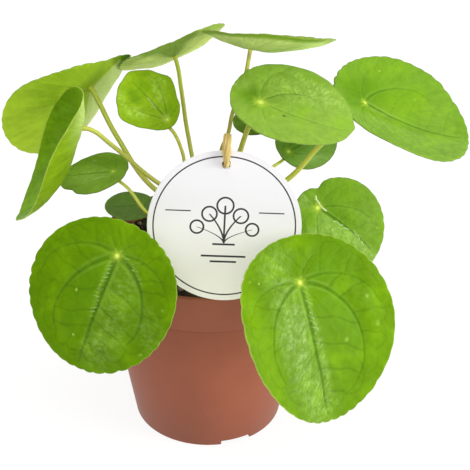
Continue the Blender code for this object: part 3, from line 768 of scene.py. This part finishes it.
def leafEdge(leaf):
    # the distance from the spot to the margin at a bearing, without and with its lobes
    turn = np.linspace(-math.pi, math.pi, 4 * 360 + 1)
    middle = leaf["length"] * (0.5 - leaf["seat"])
    along = leaf["length"] / 2 * np.cos(turn)
    across = leaf["width"] / 2 * np.sin(turn) * (1 - leaf["egg"] * np.cos(turn))
    for at, wide, depth in leaf["dents"]:
        away = (np.degrees(turn) - at + 180) % 360 - 180
        keep = 1 - depth * np.exp(-(away / wide) ** 2)
        along, across = along * keep, across * keep
    along = along + middle
    bearing = np.unwrap(np.arctan2(across, along))
    far = np.hypot(along, across)
    phase = leaf["lobes"] * turn / 2 + 0.9 * np.sin(2 * turn + 1) + 0.5 * np.sin(5 * turn)
    lobes = (np.abs(np.sin(phase)) ** 0.75 - 0.7) * (0.8 + 0.35 * np.sin(turn * 3 + leaf["lobes"]))
    grown = far + blade["scallop"] * leaf["scallop"] * leaf["length"] / blade["length"] * lobes

    def plain(angle):
        return np.interp(angle, bearing, far, period=math.tau)

    def lobed(angle):
        return np.interp(angle, bearing, grown, period=math.tau)
    return plain, lobed


def veinBearing(vein, reach):
    # a vein starts at its bearing at the spot and bends towards the one at its end
    start, end, limit, strength = vein
    way = np.clip(1 - reach / limit, 0, 1)
    return np.radians(end + (start - end) * way ** 0.6)


def bearingLines(leaf, reach, count):
    # lines of points from the spot to the margin: each main vein is one of them, and they close up beside it
    lines = np.array([veinBearing(vein, reach) for vein in leaf["veins"]])
    after = np.vstack([lines[1:], lines[:1] + math.tau])
    ends = np.array([[vein[0], vein[1]] for vein in leaf["veins"]]).mean(axis=1)
    spans = np.append(ends[1:], ends[0] + 360) - ends
    columns = []
    for first, last, number in zip(lines, after, np.maximum(np.round(count * spans / 360), 8).astype(int)):
        even = np.arange(number) / number
        for share in even - 0.11 * np.sin(math.tau * even):
            columns.append(first + (last - first) * share)
    return np.array(columns).T


def bendBlade(leaf, along, across, lift):
    # rolls the flat blade round two circles: cup and bow are a thousand over their radii, and never quite 0
    cup = (leaf["cup"] or 0.01) / 1000
    bow = (leaf["bow"] or 0.01) / 1000
    side = (1 / cup - lift) * np.sin(cup * across)
    rise = 1 / cup - (1 / cup - lift) * np.cos(cup * across)
    radius = 1 / bow - rise
    return np.column_stack([radius * np.sin(bow * along), side, 1 / bow - radius * np.cos(bow * along)])


# Main veins: half width of the faintest, what the strongest has more, and how both wane on the way out
mainVein = dict(half=0.30, more=0.32, taper=0.5, fade=0.45, points=44)

# Finer veins: millimetres, degrees, and places as shares of the way from the spot to the margin
rungs = dict(half=0.42, cell=13, loopAt=0.84, loopArch=0.07, spur=(0.74, 0.85), loopForce=0.6, meetFrom=0.15,
             many=(0.28, 0.46, 0.64, 0.82), few=(0.4, 0.7), manyFrom=0.6, slope=70, swing=0.05, force=0.9)


def veinPaths(leaf, plain):
    # each path's rows are along, across, half width and strength
    paths = []
    for vein in leaf["veins"]:
        limit, strength = vein[2:]
        reach = np.linspace(0, limit, mainVein["points"])
        bearing = veinBearing(vein, reach)
        far = reach * plain(bearing)
        way = reach / limit
        half = (mainVein["half"] + mainVein["more"] * strength) * leaf["veinWide"]
        half = half * (1 - mainVein["taper"] * way)
        force = strength * (1 - mainVein["fade"] * way ** 2)
        paths.append(np.column_stack([far * np.cos(bearing), far * np.sin(bearing), half, force]))
    return paths


def rungPaths(leaf, plain, random):
    # the finer veins: rungs that leave a main vein nearly square to it, and a row of loops inside the margin
    veins = leaf["veins"]
    paths = []

    def polar(reach, bearing):
        return (reach * plain(bearing) * np.array([np.cos(bearing), np.sin(bearing)])).T

    def addPath(points, force):
        paths.append(np.column_stack([points, np.full((len(points), 2), (rungs["half"], force))]))

    for i, first in enumerate(veins):
        second = veins[(i + 1) % len(veins)]
        outer = (second[1] - first[1]) % 360
        strength = 0.35 + 0.65 * max(first[3], second[3])
        width = math.radians(outer) * plain(math.radians(first[1] + outer / 2))
        cells = max(1, round(width / rungs["cell"]))
        share = np.linspace(0, 1, 6 * cells + 1)
        arches = rungs["loopAt"] + rungs["loopArch"] * np.abs(np.sin(math.pi * cells * share)) ** 0.7
        loop = polar(arches, np.radians(first[1] + outer * share))
        addPath(loop, rungs["loopForce"] * strength)
        for k in range(1, cells):
            bearing = math.radians(first[1] + outer * (k / cells + random.normal(0, 0.015)))
            addPath(polar(np.linspace(*rungs["spur"], 4), np.full(4, bearing)), rungs["loopForce"] * strength)
        strong, other, side = (first, second, 1) if first[3] >= second[3] else (second, first, -1)
        reach = np.linspace(rungs["meetFrom"], other[2], 30)
        ends = np.vstack([polar(reach, veinBearing(other, reach)), loop])
        for level in rungs["many"] if strong[3] > rungs["manyFrom"] else rungs["few"]:
            reach = (level + random.normal(0, 0.03) + np.array([0, 0.02])) * strong[2]
            start, ahead = polar(reach, veinBearing(strong, reach))
            slope = math.atan2(ahead[1] - start[1], ahead[0] - start[0]) + side * math.radians(rungs["slope"])
            gap = ends - start
            off = np.abs((np.arctan2(gap[:, 1], gap[:, 0]) - slope + math.pi) % math.tau - math.pi)
            span = gap[np.argmin(off)]
            share = np.linspace(0, 1, 9)[:, None]
            swing = rungs["swing"] * np.sin(math.pi * share) + 0.02 * np.sin(share * 11 + level * 30)
            addPath(start + share * span + swing * np.array([-span[1], span[0]]), rungs["force"] * strength)
    return paths


def foldTuck(leaf, along, across):
    # how far the fold of a folded leaf is drawn in
    return leaf["tuck"] * np.exp(-(across / 13) ** 2) * np.sin(math.pi * np.clip((along + 7) / 48, 0, 1))


farDistance, farGap = 40.0, 60.0  # nothing of a vein shows as far off as this


def nearestPath(points, paths):
    # distance to the nearest path, the same in half widths, and that path's strength
    distance = np.full(len(points), farDistance)
    gap = np.full(len(points), farGap)
    force = np.zeros(len(points))
    for path in paths:
        for first, second in zip(path, path[1:]):
            span = second[:2] - first[:2]
            share = np.clip(((points - first[:2]) @ span) / max(span @ span, 1e-9), 0, 1)
            away = np.hypot(*(points - first[:2] - share[:, None] * span).T)
            halves = away / (first[2] + (second[2] - first[2]) * share)
            nearer = halves < gap
            gap = np.where(nearer, halves, gap)
            force = np.where(nearer, first[3] + (second[3] - first[3]) * share, force)
            distance = np.minimum(distance, away)
    return distance, gap, force


def noiseField(points, scale, offset):
    # a value from -1 to 1 for each point of the flat blade
    return np.array([noise.noise(Vector((x * scale + offset, y * scale - offset, 0.37))) for x, y in points])


def zoneShare(zones, face, along, across, reach):
    # how much painted sheen (above 0) or painted shade (below 0) the zones put on each point
    bearing = np.degrees(np.arctan2(across, along))
    total = np.zeros(len(along))
    for zone in zones:
        if zone["face"] != face:
            continue
        if "hem" in zone:
            total += zone["sheenShade"] * np.clip((reach - zone["hem"]) / 0.12, 0, 1)
        elif "at" in zone:
            turn = math.radians(zone["turn"])
            x, y = along - zone["at"][0], across - zone["at"][1]
            first = (x * math.cos(turn) + y * math.sin(turn)) / zone["sizes"][0]
            second = (y * math.cos(turn) - x * math.sin(turn)) / zone["sizes"][1]
            total += zone["sheenShade"] * np.exp(-(first ** 2 + second ** 2) ** zone["hard"] * 0.7)
        else:
            middle, half = (zone["start"] + zone["end"]) / 2, (zone["end"] - zone["start"]) / 2
            away = np.abs((bearing - middle + 180) % 360 - 180)
            inside = np.clip(0.5 + (half - away) / (2 * zone["soft"]), 0, 1)
            total += zone["sheenShade"] * inside * np.clip(np.hypot(along, across) / 4, 0, 1)
    return np.clip(total, -1, 1)


def tickShare(leaf, plane, reach, bearing):
    # where the skin beside a vein is drawn into fine ripples, with pale ticks painted on them as highlights
    total = np.zeros(len(plane))
    for index, side, limit in leaf["ticks"]:
        vein = leaf["veins"][index]
        turn = ((bearing - veinBearing(vein, reach) + math.pi) % math.tau - math.pi) * side
        away = turn * np.hypot(*plane.T)
        near = np.clip(away / 0.5, 0, 1) * np.clip(1.6 - away / 2.6, 0, 1)
        total += near * np.clip(reach / 0.06, 0, 1) * np.clip((limit - reach) / 0.15, 0, 1) * (turn < 1.2)
    return np.clip(total, 0, 1)


def dotShare(leaf, plane):
    # single marks: above 0 a light one, below 0 a dark one
    total = np.zeros(len(plane))
    for x, y, size, share in leaf["dots"]:
        total += share * np.exp(-(((plane - (x, y)) / size) ** 2).sum(axis=1) ** 2)
    return total


def makeFace(leaf, face, rings, count, plain, lobed):
    # the points of one face, ring by ring from the spot outwards, with what its skin needs
    random = np.random.default_rng(sum(map(ord, leaf["name"])))
    size = leaf["length"] / blade["length"]
    reach = np.linspace(0, 1, rings + 1)[1:]
    bearing = bearingLines(leaf, reach, count)
    sectors = bearing.shape[1]
    smooth, wavy = plain(bearing), lobed(bearing)
    far = reach[:, None] * smooth + (wavy - smooth) * reach[:, None] ** 14  # lobes only near the margin
    along = np.concatenate([[0], (far * np.cos(bearing)).ravel()])
    across = np.concatenate([[0], (far * np.sin(bearing)).ravel()])
    turn = np.concatenate([[0], bearing.ravel()])
    reachAll = np.concatenate([[0], np.repeat(reach, sectors)])
    plane = np.column_stack([along, across])
    distance, veinGap, veinForce = nearestPath(plane, veinPaths(leaf, plain))
    rungDistance, rungGap, rungForce = nearestPath(plane, rungPaths(leaf, plain, random))
    scars = [np.column_stack([path, np.full((len(path), 2), (half, force))])
             for force, half, path in leaf["scars"]]
    _, scarGap, scarForce = nearestPath(plane, scars)
    offset = random.uniform(0, 50)
    pucker = noiseField(plane, 0.13 / size, offset) + 0.45 * noiseField(plane, 0.36 / size, offset + 9)
    calm = np.clip(reachAll * 6, 0, 1)  # no relief at the spot itself
    bulge = blade["bulge"] * (1 - np.exp(-distance / (5 * size)))
    relief = bulge + blade["quilt"] * (1 - np.exp(-rungDistance / 2))
    relief = relief + blade["pucker"] * pucker - blade["groove"] * veinForce * np.exp(-(veinGap / 1.4) ** 2)
    ruffle = blade["wave"] * np.sin(turn * 5 + offset) * reachAll ** 6 - blade["turnedDown"] * reachAll ** 12
    tuck = foldTuck(leaf, along, across)
    lift = size * (leaf["fine"] * calm * (relief - 0.35) + ruffle) + tuck
    if face == "under":
        depth = blade["thickness"] - (blade["thickness"] - blade["rim"]) * reachAll ** 12
        rib = blade["rib"] * size * veinForce * np.exp(-(veinGap / 1.8) ** 2) * calm
        soft = bulge + blade["pucker"] * pucker
        lift = size * (leaf["fine"] * calm * (soft - 0.35) * 0.8 + ruffle) + tuck - depth - rib
    local = bendBlade(leaf, along, across, lift)
    placement = np.array(leafPlacement(leaf))
    points = (local @ placement[:3, :3].T + placement[:3, 3]) * mm
    tickTurn = math.radians(leaf["tickTurn"])
    attributes = {
        "tint": np.tile(leaf[face], (len(points), 1)),
        "upper": np.full(len(points), float(face == "upper")),
        "veinGap": veinGap,
        "veinForce": veinForce,
        "rungGap": rungGap,
        "rungForce": rungForce * leaf["net"],
        "scarGap": scarGap,
        "scarForce": scarForce,
        "margin": np.concatenate([[20], (wavy - far).ravel()]),
        "reach": reachAll,
        "spotDistance": np.hypot(along, across) / leaf["spotScale"],
        "tickWay": along * math.cos(tickTurn) + across * math.sin(tickTurn),
        "tick": tickShare(leaf, plane, reachAll, turn),
        "sheenShade": zoneShare(leaf["zones"], face, along, across, reachAll),
        "fresh": zoneShare(leaf["fresh"], face, along, across, reachAll),
        "dot": dotShare(leaf, plane),
    }
    for key in ("rim", "ribs", "satin"):
        attributes[key] = np.full(len(points), leaf[key])
    return points, attributes, plane, sectors


def makeBlade(leaf, material):
    count, fineRings, plainRings = detailLevels[leaf["detail"]]
    plain, lobed = leafEdge(leaf)
    upperRings = plainRings if leaf["seen"] == "under" else fineRings
    underRings = plainRings if leaf["seen"] == "upper" else fineRings
    upperPoints, upperData, upperPlane, sectors = makeFace(leaf, "upper", upperRings, count, plain, lobed)
    underPoints, underData, underPlane, sectors = makeFace(leaf, "under", underRings, count, plain, lobed)

    def fan(rings, base, turned):
        faces = [(base, base + 1 + j, base + 1 + (j + 1) % sectors) for j in range(sectors)]
        for i in range(rings - 1):
            faces += ringFaces(base + 1 + i * sectors, base + 1 + (i + 1) * sectors, sectors)
        return [face[::-1] for face in faces] if turned else faces

    total = len(upperPoints)
    faces = fan(upperRings, 0, False) + fan(underRings, total, True)
    upperLast = 1 + (upperRings - 1) * sectors
    underLast = total + 1 + (underRings - 1) * sectors
    for a in range(sectors):
        b = (a + 1) % sectors
        faces.append((upperLast + b, upperLast + a, underLast + a, underLast + b))
    points = np.vstack([upperPoints, underPoints])
    attributes = {key: np.concatenate([upperData[key], underData[key]]) for key in upperData}
    turn = math.radians(leaf["grain"])
    grain = np.array([[math.cos(turn), math.sin(turn)], [-math.sin(turn), math.cos(turn)]])
    addMesh("leaf_" + leaf["name"], points, faces, material, "blade_" + leaf["name"],
            attributes, np.vstack([upperPlane, underPlane]) @ grain)


# the lift and the pale underside colour below are painted sheen, the two deep greens painted shade
leafLook = dict(veinCore=(0.055, 0.15, 0.010), veinHighlight=(0.34, 0.54, 0.10), sheenLift=(0.082, 0.082, 0.052),
                sheenUnder=(0.70, 0.88, 0.28), shadeSkin=(0.10, 0.24, 0.004), shadeUnder=(0.18, 0.34, 0.010),
                freshSkin=(0.20, 0.40, 0.002), dotColour=(0.55, 0.72, 0.14), speckColour=(0.06, 0.07, 0.02),
                spotColour=(0.60, 0.78, 0.08), spotMiddle=(0.80, 0.86, 0.30), tickHighlight=(0.50, 0.66, 0.26),
                paleRim=(0.50, 0.62, 0.11), darkRim=(0.12, 0.12, 0.03), scarColour=(0.85, 0.90, 0.55),
                spotSize=1.15, tickGap=1.9)


def leafMaterial():
    material, shader, wire = newMaterial("leafSkin", 0.4, 0.05)
    shader.inputs["Coat Roughness"].default_value = 0.28

    def read(*names):
        return [attribute(wire, name) for name in names]

    tint = attribute(wire, "tint", 0)
    upper, reach, spot, margin = read("upper", "reach", "spotDistance", "margin")
    veinGap, veinForce, rungGap, rungForce = read("veinGap", "veinForce", "rungGap", "rungForce")
    tick, tickWay, scarGap, scarForce = read("tick", "tickWay", "scarGap", "scarForce")
    sheenShade, fresh, dot, rim, ribs, satin = read("sheenShade", "fresh", "dot", "rim", "ribs", "satin")

    def above(value):
        return wire.math("MAXIMUM", value, 0.0)

    def below(value):
        return wire.math("MAXIMUM", 0.0 - value, 0.0)

    place = wire.node("ShaderNodeUVMap", {"uv_map": "plane"})
    broad = noiseAt(wire, place, 7.0, 2.0)
    coarse = noiseAt(wire, place, 24.0, 2.0)
    pebble = noiseAt(wire, place, 60.0, 2.0, 0.5, 0.5)
    grain = noiseAt(wire, place, 210.0, 1.0)
    slanted = wire.node("ShaderNodeMapping", {"vector_type": "TEXTURE"},
                        {"Vector": place, "Rotation": (0.0, 0.0, math.radians(57)), "Scale": (1.9, 0.8, 1.0)})
    streak = noiseAt(wire, slanted, 55.0, 2.0, 0.6, 0.6)
    # noise that changes round the spot and little on the way out
    ray = wire.node("ShaderNodeVectorMath", {"operation": "NORMALIZE"}, {0: place})
    ray = wire.node("ShaderNodeVectorMath", {"operation": "SCALE"}, {0: ray, "Scale": 9.0})
    wayOut = wire.node("ShaderNodeCombineXYZ", None, {2: reach * 2.0})
    ray = wire.node("ShaderNodeVectorMath", {"operation": "ADD"}, {0: ray, 1: wayOut})
    spokes = noiseAt(wire, ray, 1.5, 3.0, 0.6)

    # the skin's own colour, then its painted sheen, lighter and pebbly, and its painted shade, deeper
    shade = 0.62 + 0.34 * broad + 0.30 * coarse + 0.12 * grain + ribs * (spokes - 0.5) * 0.65
    colour = tint.tinted(shade)
    colour = (upper * broad.step(0.48, 0.72) * 0.35).mixColour(colour, leafLook["freshSkin"])
    colour = (fresh * 0.8).mixColour(colour, leafLook["freshSkin"])
    # painted sheen where the zones are above 0, painted shade where they are below 0
    paintedSheen, paintedShade = above(sheenShade), below(sheenShade)
    sheenUpper = wire.node("ShaderNodeMix", {"data_type": "RGBA", "blend_type": "ADD"},
                          {0: 1.0, 6: colour.tinted(1.2), 7: (*leafLook["sheenLift"], 1.0)}, out=2)
    patchy = (0.75 * streak + 0.35 * pebble).step(0.40, 0.72) * (0.35 + 0.9 * coarse.step(0.3, 0.65))
    patchy = 0.7 + satin * (patchy - 0.6)
    sheenShare = paintedSheen * (upper * patchy + (1 - upper) * (0.6 + 0.8 * spokes * ribs))
    colour = sheenShare.mixColour(colour, upper.mixColour(leafLook["sheenUnder"], sheenUpper))
    shadeColour = upper.mixColour(leafLook["shadeUnder"], leafLook["shadeSkin"])
    colour = (paintedShade * (0.92 - 0.22 * upper)).mixColour(colour, shadeColour)

    # veins, ticks and scars
    near = 1 - reach.step(0.05, 0.9)
    # painted highlight: a paler strip on each side of the main veins, fading away from the spot
    veinHighlight = veinGap.step(1.2, 2.2) * (1 - veinGap.step(2.4, 4.5)) * veinForce * upper
    colour = (veinHighlight * near * 0.22).mixColour(colour, leafLook["veinHighlight"])
    core = (1 - veinGap.step(0.2, 1.9)) * veinForce
    colour = (core * upper * 0.7).mixColour(colour, leafLook["veinCore"])
    rung = (1 - rungGap.step(0.4, 2.2)) * rungForce
    colour = colour.tinted(1 - upper * rung * 0.18 - (1 - upper) * (core * 0.16 + rung * 0.05))
    stripes = wire.math("SINE", tickWay * (math.tau / leafLook["tickGap"]) + coarse * 9.0).step(0.4, 1.0)
    stripes = stripes * pebble.step(0.38, 0.62)
    # painted highlight: pale ticks on the fine ripples beside some veins
    tickGlints = tick * stripes * upper * (0.2 + 0.5 * coarse.step(0.35, 0.65))
    colour = tickGlints.mixColour(colour, leafLook["tickHighlight"])
    scarred = (1 - scarGap.step(0.5, 1.8)) * scarForce * grain.step(0.25, 0.5)
    colour = scarred.mixColour(colour, leafLook["scarColour"])

    # freckles and single marks
    freckle = wire.node("ShaderNodeTexVoronoi", {"feature": "F1"}, {"Vector": place, "Scale": 6.5})
    colour = ((1 - freckle.step(0.02, 0.06)) * upper * 0.22).mixColour(colour, leafLook["dotColour"])
    colour = (above(dot) * upper).mixColour(colour, leafLook["dotColour"])
    colour = (below(dot) * upper).mixColour(colour, leafLook["speckColour"])

    # the pale spot over the stalk, with rays along the veins
    size = leafLook["spotSize"]
    rays = (1 - spot.step(size * 1.5, size * 5.0)) * (1 - veinGap.step(0.6, 2.0)) * (1 - veinForce * 0.7) * 0.5
    halo = (1 - spot.step(size * 0.8, size * 3.6)) * 0.45
    colour = (upper * wire.math("MAXIMUM", rays, halo)).mixColour(colour, leafLook["spotColour"])
    colour = (upper * (1 - spot.step(size * 0.8, size * 1.5))).mixColour(colour, leafLook["spotColour"])
    colour = (upper * (1 - spot.step(size * 0.2, size * 0.8)) * 0.8).mixColour(colour, leafLook["spotMiddle"])

    # the margin
    edge = (1 - margin.step(0.12, 0.5)) * (0.4 + 0.9 * coarse)
    colour = (edge * above(rim)).mixColour(colour, leafLook["paleRim"])
    colour = (edge * below(rim)).mixColour(colour, leafLook["darkRim"])
    colour.into(shader, "Base Color")

    # gloss and fine relief
    (0.44 + (1 - upper) * 0.2 - paintedSheen * 0.08 + 0.10 * (grain - 0.5)).into(shader, "Roughness")
    (upper * paintedSheen * 0.35 * satin * patchy).into(shader, "Coat Weight")
    height = (0.2 + 0.8 * paintedSheen) * (0.8 * streak + 0.4 * pebble) + 0.6 * coarse + 0.12 * grain
    height = height + 0.2 * stripes * tick + ribs * spokes * 0.8
    bumpInto(wire, shader, height, 0.0009, 0.7)
    return material


stalks = dict(perSpan=14, sides=16, sunk=0.4, lead=4.5, leadRise=1.2, end=0.5, endRun=3.5,
              lower=(0.50, 0.50, 0.055), higher=(0.66, 0.72, 0.085), shaded=(0.26, 0.25, 0.035),
              brown=(0.40, 0.30, 0.085), join=(0.66, 0.66, 0.06))


def stalkRoute(leaf):
    # out of the stem, through the leaf's own places, and square into the blade under its spot
    middle = [np.array(p, float) for p in leaf["via"]]
    outward = np.array([middle[0][0] - stem["x"], middle[0][1], 0.0])
    outward /= np.linalg.norm(outward)
    axis = np.array([stem["x"], 0, leaf["root"]])
    share = (leaf["root"] - soil["top"]) / (stem["top"] - soil["top"])
    surface = stem["thick"] + (stem["thin"] - stem["thick"]) * share
    start = axis + outward * (surface - stalks["sunk"])
    lead = axis + outward * (surface + stalks["lead"]) + np.array([0, 0, stalks["leadRise"]])
    placement = leafPlacement(leaf)
    spot = np.array(placement.translation)
    under = -np.array(placement.to_3x3() @ Vector((0, 0, 1)))
    end = spot + under * (stalks["end"] - foldTuck(leaf, 0, 0))
    return [start, lead, *middle, spot + under * stalks["endRun"], end]


def makeStalk(leaf, material):
    route = smoothRoute(stalkRoute(leaf), stalks["perSpan"])
    sides = stalks["sides"]
    share = np.linspace(0, 1, len(route))
    # a little thicker at both ends
    radius = leaf["stalk"] * (1 + 0.45 * np.exp(-share * 22) + 0.22 * np.exp(-(1 - share) * 30))
    points, faces = tube(route, radius, sides)
    outward = (points - np.repeat(route, sides, axis=0)) / np.repeat(radius, sides)[:, None]
    # side: how far each point faces up and to the right, used for the painted shade
    attributes = {"share": np.repeat(share, sides), "side": outward @ np.array([0.6, -0.2, 0.75]),
                  "brown": np.full(len(points), leaf["brown"]), "lit": np.full(len(points), leaf["lit"])}
    addMesh("petiole_" + leaf["name"], points * mm, faces, material, "stalk_" + leaf["name"],
            attributes)


def stalkMaterial():
    material, shader, wire = newMaterial("stalkSkin", 0.36, 0.5)
    share, brown, side, lit = (attribute(wire, name) for name in ("share", "brown", "side", "lit"))
    place = objectPlace(wire)
    mottle = noiseAt(wire, place, 900.0, 2.0)
    broad = noiseAt(wire, place, 120.0, 2.0)
    colour = share.step(0.15, 0.9).mixColour(stalks["lower"], stalks["higher"])
    # painted shade: the side of each stalk facing away from up and right is painted darker
    colour = (0.6 - 0.6 * side.step(-0.7, 0.4)).mixColour(colour, stalks["shaded"])
    tanned = brown * broad.step(0.3, 0.7) * (1 - share.step(0.85, 1.0))
    colour = tanned.mixColour(colour, stalks["brown"])
    colour = share.step(0.86, 0.99).mixColour(colour, stalks["join"])
    # painted light and shade: each stalk is painted lighter or darker by its leaf's lit value
    colour.tinted(lit * (0.82 + 0.22 * broad + 0.14 * mottle)).into(shader, "Base Color")
    bumpInto(wire, shader, mottle, 0.0002, 0.5)
    return material


leafSkin = leafMaterial()
stalkSkin = stalkMaterial()
for row in leaves:
    leaf = {**usualLeaf, **row}
    makeBlade(leaf, leafSkin)
    makeStalk(leaf, stalkSkin)
print("leaves and stalks ready")


# Tag and tie

tag = dict(radius=38.1, thick=0.8, bevel=0.12, centre=(8, -50.3, 145.8), lean=15, roll=2, hole=2.3, holeUp=31.2,
           ring=35.1, ringWide=0.29, inkEdge=0.12, sides=160, shadedCardTop=(0.80, 0.785, 0.81),
           litCardFoot=(1.0, 0.94, 0.885), ink=(0.030, 0.031, 0.031))
# The picture on the tag: stalks bend out from one foot to round leaves (across, up, radius), over two rules
# (up, half length), with one more rule on each side
sprig = dict(foot=-8.5, footBar=5.5, thick=0.42, leaves=[(-13.5, -0.5, 3.7), (-7.5, 6.2, 4.1), (0.2, 10.6, 4.5),
                                                         (8.0, 5.6, 4.1), (13.8, -1.2, 3.6)],
             rules=[(-15.2, 11.0), (-18.0, 6.5)], sideRule=dict(up=7.5, across=23.0, half=6.2, thick=0.24))
tie = dict(hold=(10.0, 0.3, 171.3), radius=2.55, fibres=21, fibre=0.48, fibreSides=8, spread=0.78, perSpan=20,
           straw=[(0.56, 0.40, 0.12), (0.86, 0.74, 0.33)])


def tagPlacement():
    lean = Matrix.Rotation(math.pi / 2 - math.radians(tag["lean"]), 4, "X")
    roll = Matrix.Rotation(-math.radians(tag["roll"]), 4, "Z")
    return Matrix.Translation(Vector(tag["centre"])) @ lean @ roll


def inkLine(wire, value, centre, half):
    # 1 where the value is within half of the centre
    return 1 - wire.math("ABSOLUTE", value - centre).step(half, half + tag["inkEdge"])


def sprigMask(wire, across, up):
    # 1 on the printed lines and leaves
    def most(first, second):
        return wire.math("MAXIMUM", first, second)

    def bar(height, half):
        return inkLine(wire, across, 0.0, half) * inkLine(wire, up, height, sprig["thick"])

    foot = sprig["foot"]
    shape = bar(foot - 0.6, sprig["footBar"])
    for x, y, radius in sprig["leaves"]:
        dx, dy = across - x, up - y
        away = (dx * dx + dy * dy) ** 0.5
        leafRing = inkLine(wire, away, radius - 0.45, 0.40)
        bent = most((up - foot) / (y - foot), 0.0) ** 1.8
        inside = (up - foot).step(-0.1, 0.1) * (1 - (up - y).step(-0.1, 0.1))
        stalk = (1 - wire.math("ABSOLUTE", across - bent * x).step(0.38, 0.54)) * inside
        shape = most(shape, most(leafRing, stalk))
    for height, half in sprig["rules"]:
        shape = most(shape, bar(height, half))
    return shape


def tagMaterial():
    material, shader, wire = newMaterial("tagCard", 0.55, 0.3)
    place = wire.node("ShaderNodeUVMap", {"uv_map": "plane"})
    across, up = (wire.node("ShaderNodeSeparateXYZ", None, {0: place}, out=i) * planeUnit for i in range(2))
    away = (across * across + up * up) ** 0.5
    ring = inkLine(wire, away, tag["ring"], tag["ringWide"])
    rule = sprig["sideRule"]
    rules = inkLine(wire, wire.math("ABSOLUTE", across), rule["across"], rule["half"])
    rules = inkLine(wire, up, rule["up"], rule["thick"]) * rules
    ink = wire.math("MAXIMUM", wire.math("MAXIMUM", ring, rules), sprigMask(wire, across, up))
    ink = ink * attribute(wire, "front")
    fibre = noiseAt(wire, place, 160.0, 4.0, 0.7)
    # painted light and shade: the card is painted greyer at the top and brighter, warmer cream towards its foot
    card = (up * -1.0).step(-20.0, 38.0).mixColour(tag["shadedCardTop"], tag["litCardFoot"])
    ink.mixColour(card.tinted(0.97 + 0.05 * fibre), tag["ink"]).into(shader, "Base Color")
    bumpInto(wire, shader, fibre, 0.00004, 0.5)
    return material


def makeTag(material):
    # rings of points from the hole to the rim on the front, and back again behind
    sides = tag["sides"]
    half = tag["thick"] / 2
    angle = np.linspace(0, math.tau, sides, endpoint=False)
    circle = np.column_stack([np.cos(angle), np.sin(angle)])
    holeCircle = circle * tag["hole"] + (0, tag["holeUp"])
    rings = [(holeCircle, half)]
    for blend in (0.04, 0.5, 0.93):
        rings.append((holeCircle * (1 - blend) + circle * tag["radius"] * blend, half))
    rings.append((circle * (tag["radius"] - tag["bevel"]), half))
    rings.append((circle * tag["radius"], half - tag["bevel"]))
    rings += [(ring, -height) for ring, height in reversed(rings)]
    points = np.vstack([np.column_stack([ring, np.full(sides, height)]) for ring, height in rings])
    faces = []
    for i in range(len(rings)):
        faces += ringFaces(i * sides, (i + 1) % len(rings) * sides, sides)
    placement = np.array(tagPlacement())
    placed = (points @ placement[:3, :3].T + placement[:3, 3]) * mm
    made = addMesh("roundTag", placed, faces, material, "tag",
                   {"front": points[:, 2] > 0}, points[:, :2])
    made.data.set_sharp_from_angle(angle=math.radians(40))


def tieRoute():
    # each point of the band and the share of its full thickness there
    placement = tagPlacement()

    def byHole(across, up, front):
        return placement @ Vector((across, tag["holeUp"] + up, front))

    def byStalk(x, y, z):
        return Vector(tie["hold"]) + Vector((x, y, z))

    return [(byHole(-0.1, 0, 0), 0.95), (byHole(-0.3, 0.3, 1.9), 0.42), (byHole(-0.3, 5.8, 3.0), 0.95),
            (byHole(-0.2, 10.6, 0.6), 1.0), (Vector((9.6, -18, 178.6)), 0.66), (byStalk(-0.5, -4, 2), 0.35),
            (byStalk(-1.1, -1.3, 0.9), 0.14), (byStalk(-1.3, 0.9, 0.3), 0.12), (byStalk(0, 1.6, 0), 0.12),
            (byStalk(1.3, 0.9, -0.2), 0.12), (byStalk(1.1, -1.3, -0.9), 0.14), (Vector((10.4, -20, 173)), 0.5),
            (byHole(-0.1, 0.2, -2.8), 0.85)]


def strawMaterial():
    material, shader, wire = newMaterial("strawFibre", 0.75, 0.3)
    place = objectPlace(wire)
    fibre = noiseAt(wire, place, 1500.0, 3.0)
    blotch = noiseAt(wire, place, 220.0, 2.0)
    colour = (attribute(wire, "shade") * 0.7 + blotch * 0.4).step(0.2, 0.9).mixColour(*tie["straw"])
    colour.tinted((0.8 + 0.35 * fibre) * (1 - 0.85 * attribute(wire, "shadow"))).into(shader, "Base Color")
    bumpInto(wire, shader, fibre, 0.0003, 0.8)
    return material


def makeTie(material):
    # a bundle of fibres that wind round one closed route
    stops = tieRoute()
    route = smoothRoute([tuple(point) for point, share in stops], tie["perSpan"], closed=True)
    shares = np.array([share for point, share in stops] + [stops[0][1]])
    thick = np.interp(np.arange(len(route)) / tie["perSpan"], np.arange(len(shares)), shares)
    side, up = travellingFrames(route, closed=True)
    way = np.arange(len(route)) / len(route)
    points, faces, shades = [], [], []
    for k in range(tie["fibres"]):
        reach = math.sqrt((k + 0.5) / tie["fibres"]) * tie["spread"]
        turn = k * 2.4 + math.tau * way + 0.35 * np.sin(math.tau * (2 * way + k * 0.37))
        out = tie["radius"] * thick * reach
        strand = route + out[:, None] * (side * np.cos(turn)[:, None] + up * np.sin(turn)[:, None])
        radius = tie["fibre"] * (0.25 + 0.75 * thick) * (1 + 0.15 * np.sin(math.tau * (5 * way + k * 0.21)))
        more, moreFaces = tube(strand, radius, tie["fibreSides"], closed=True)
        faces += [tuple(i + len(points) for i in face) for face in moreFaces]
        points += list(more)
        shades += [rng.uniform(0, 1)] * len(more)
    # dark where they pass through the card
    inward = np.array(tagPlacement().inverted())
    local = np.array(points) @ inward[:3, :3].T + inward[:3, 3]
    away = np.hypot(local[:, 0], local[:, 1] - tag["holeUp"])
    shadow = np.clip((3.6 - away) / 1.0, 0, 1) * np.clip((0.9 - local[:, 2]) / 0.5, 0, 1)
    addMesh("strawTie", np.array(points) * mm, faces, material, "tie",
            {"shade": shades, "shadow": shadow})


makeTag(tagMaterial())
makeTie(strawMaterial())
print("tag and tie ready")
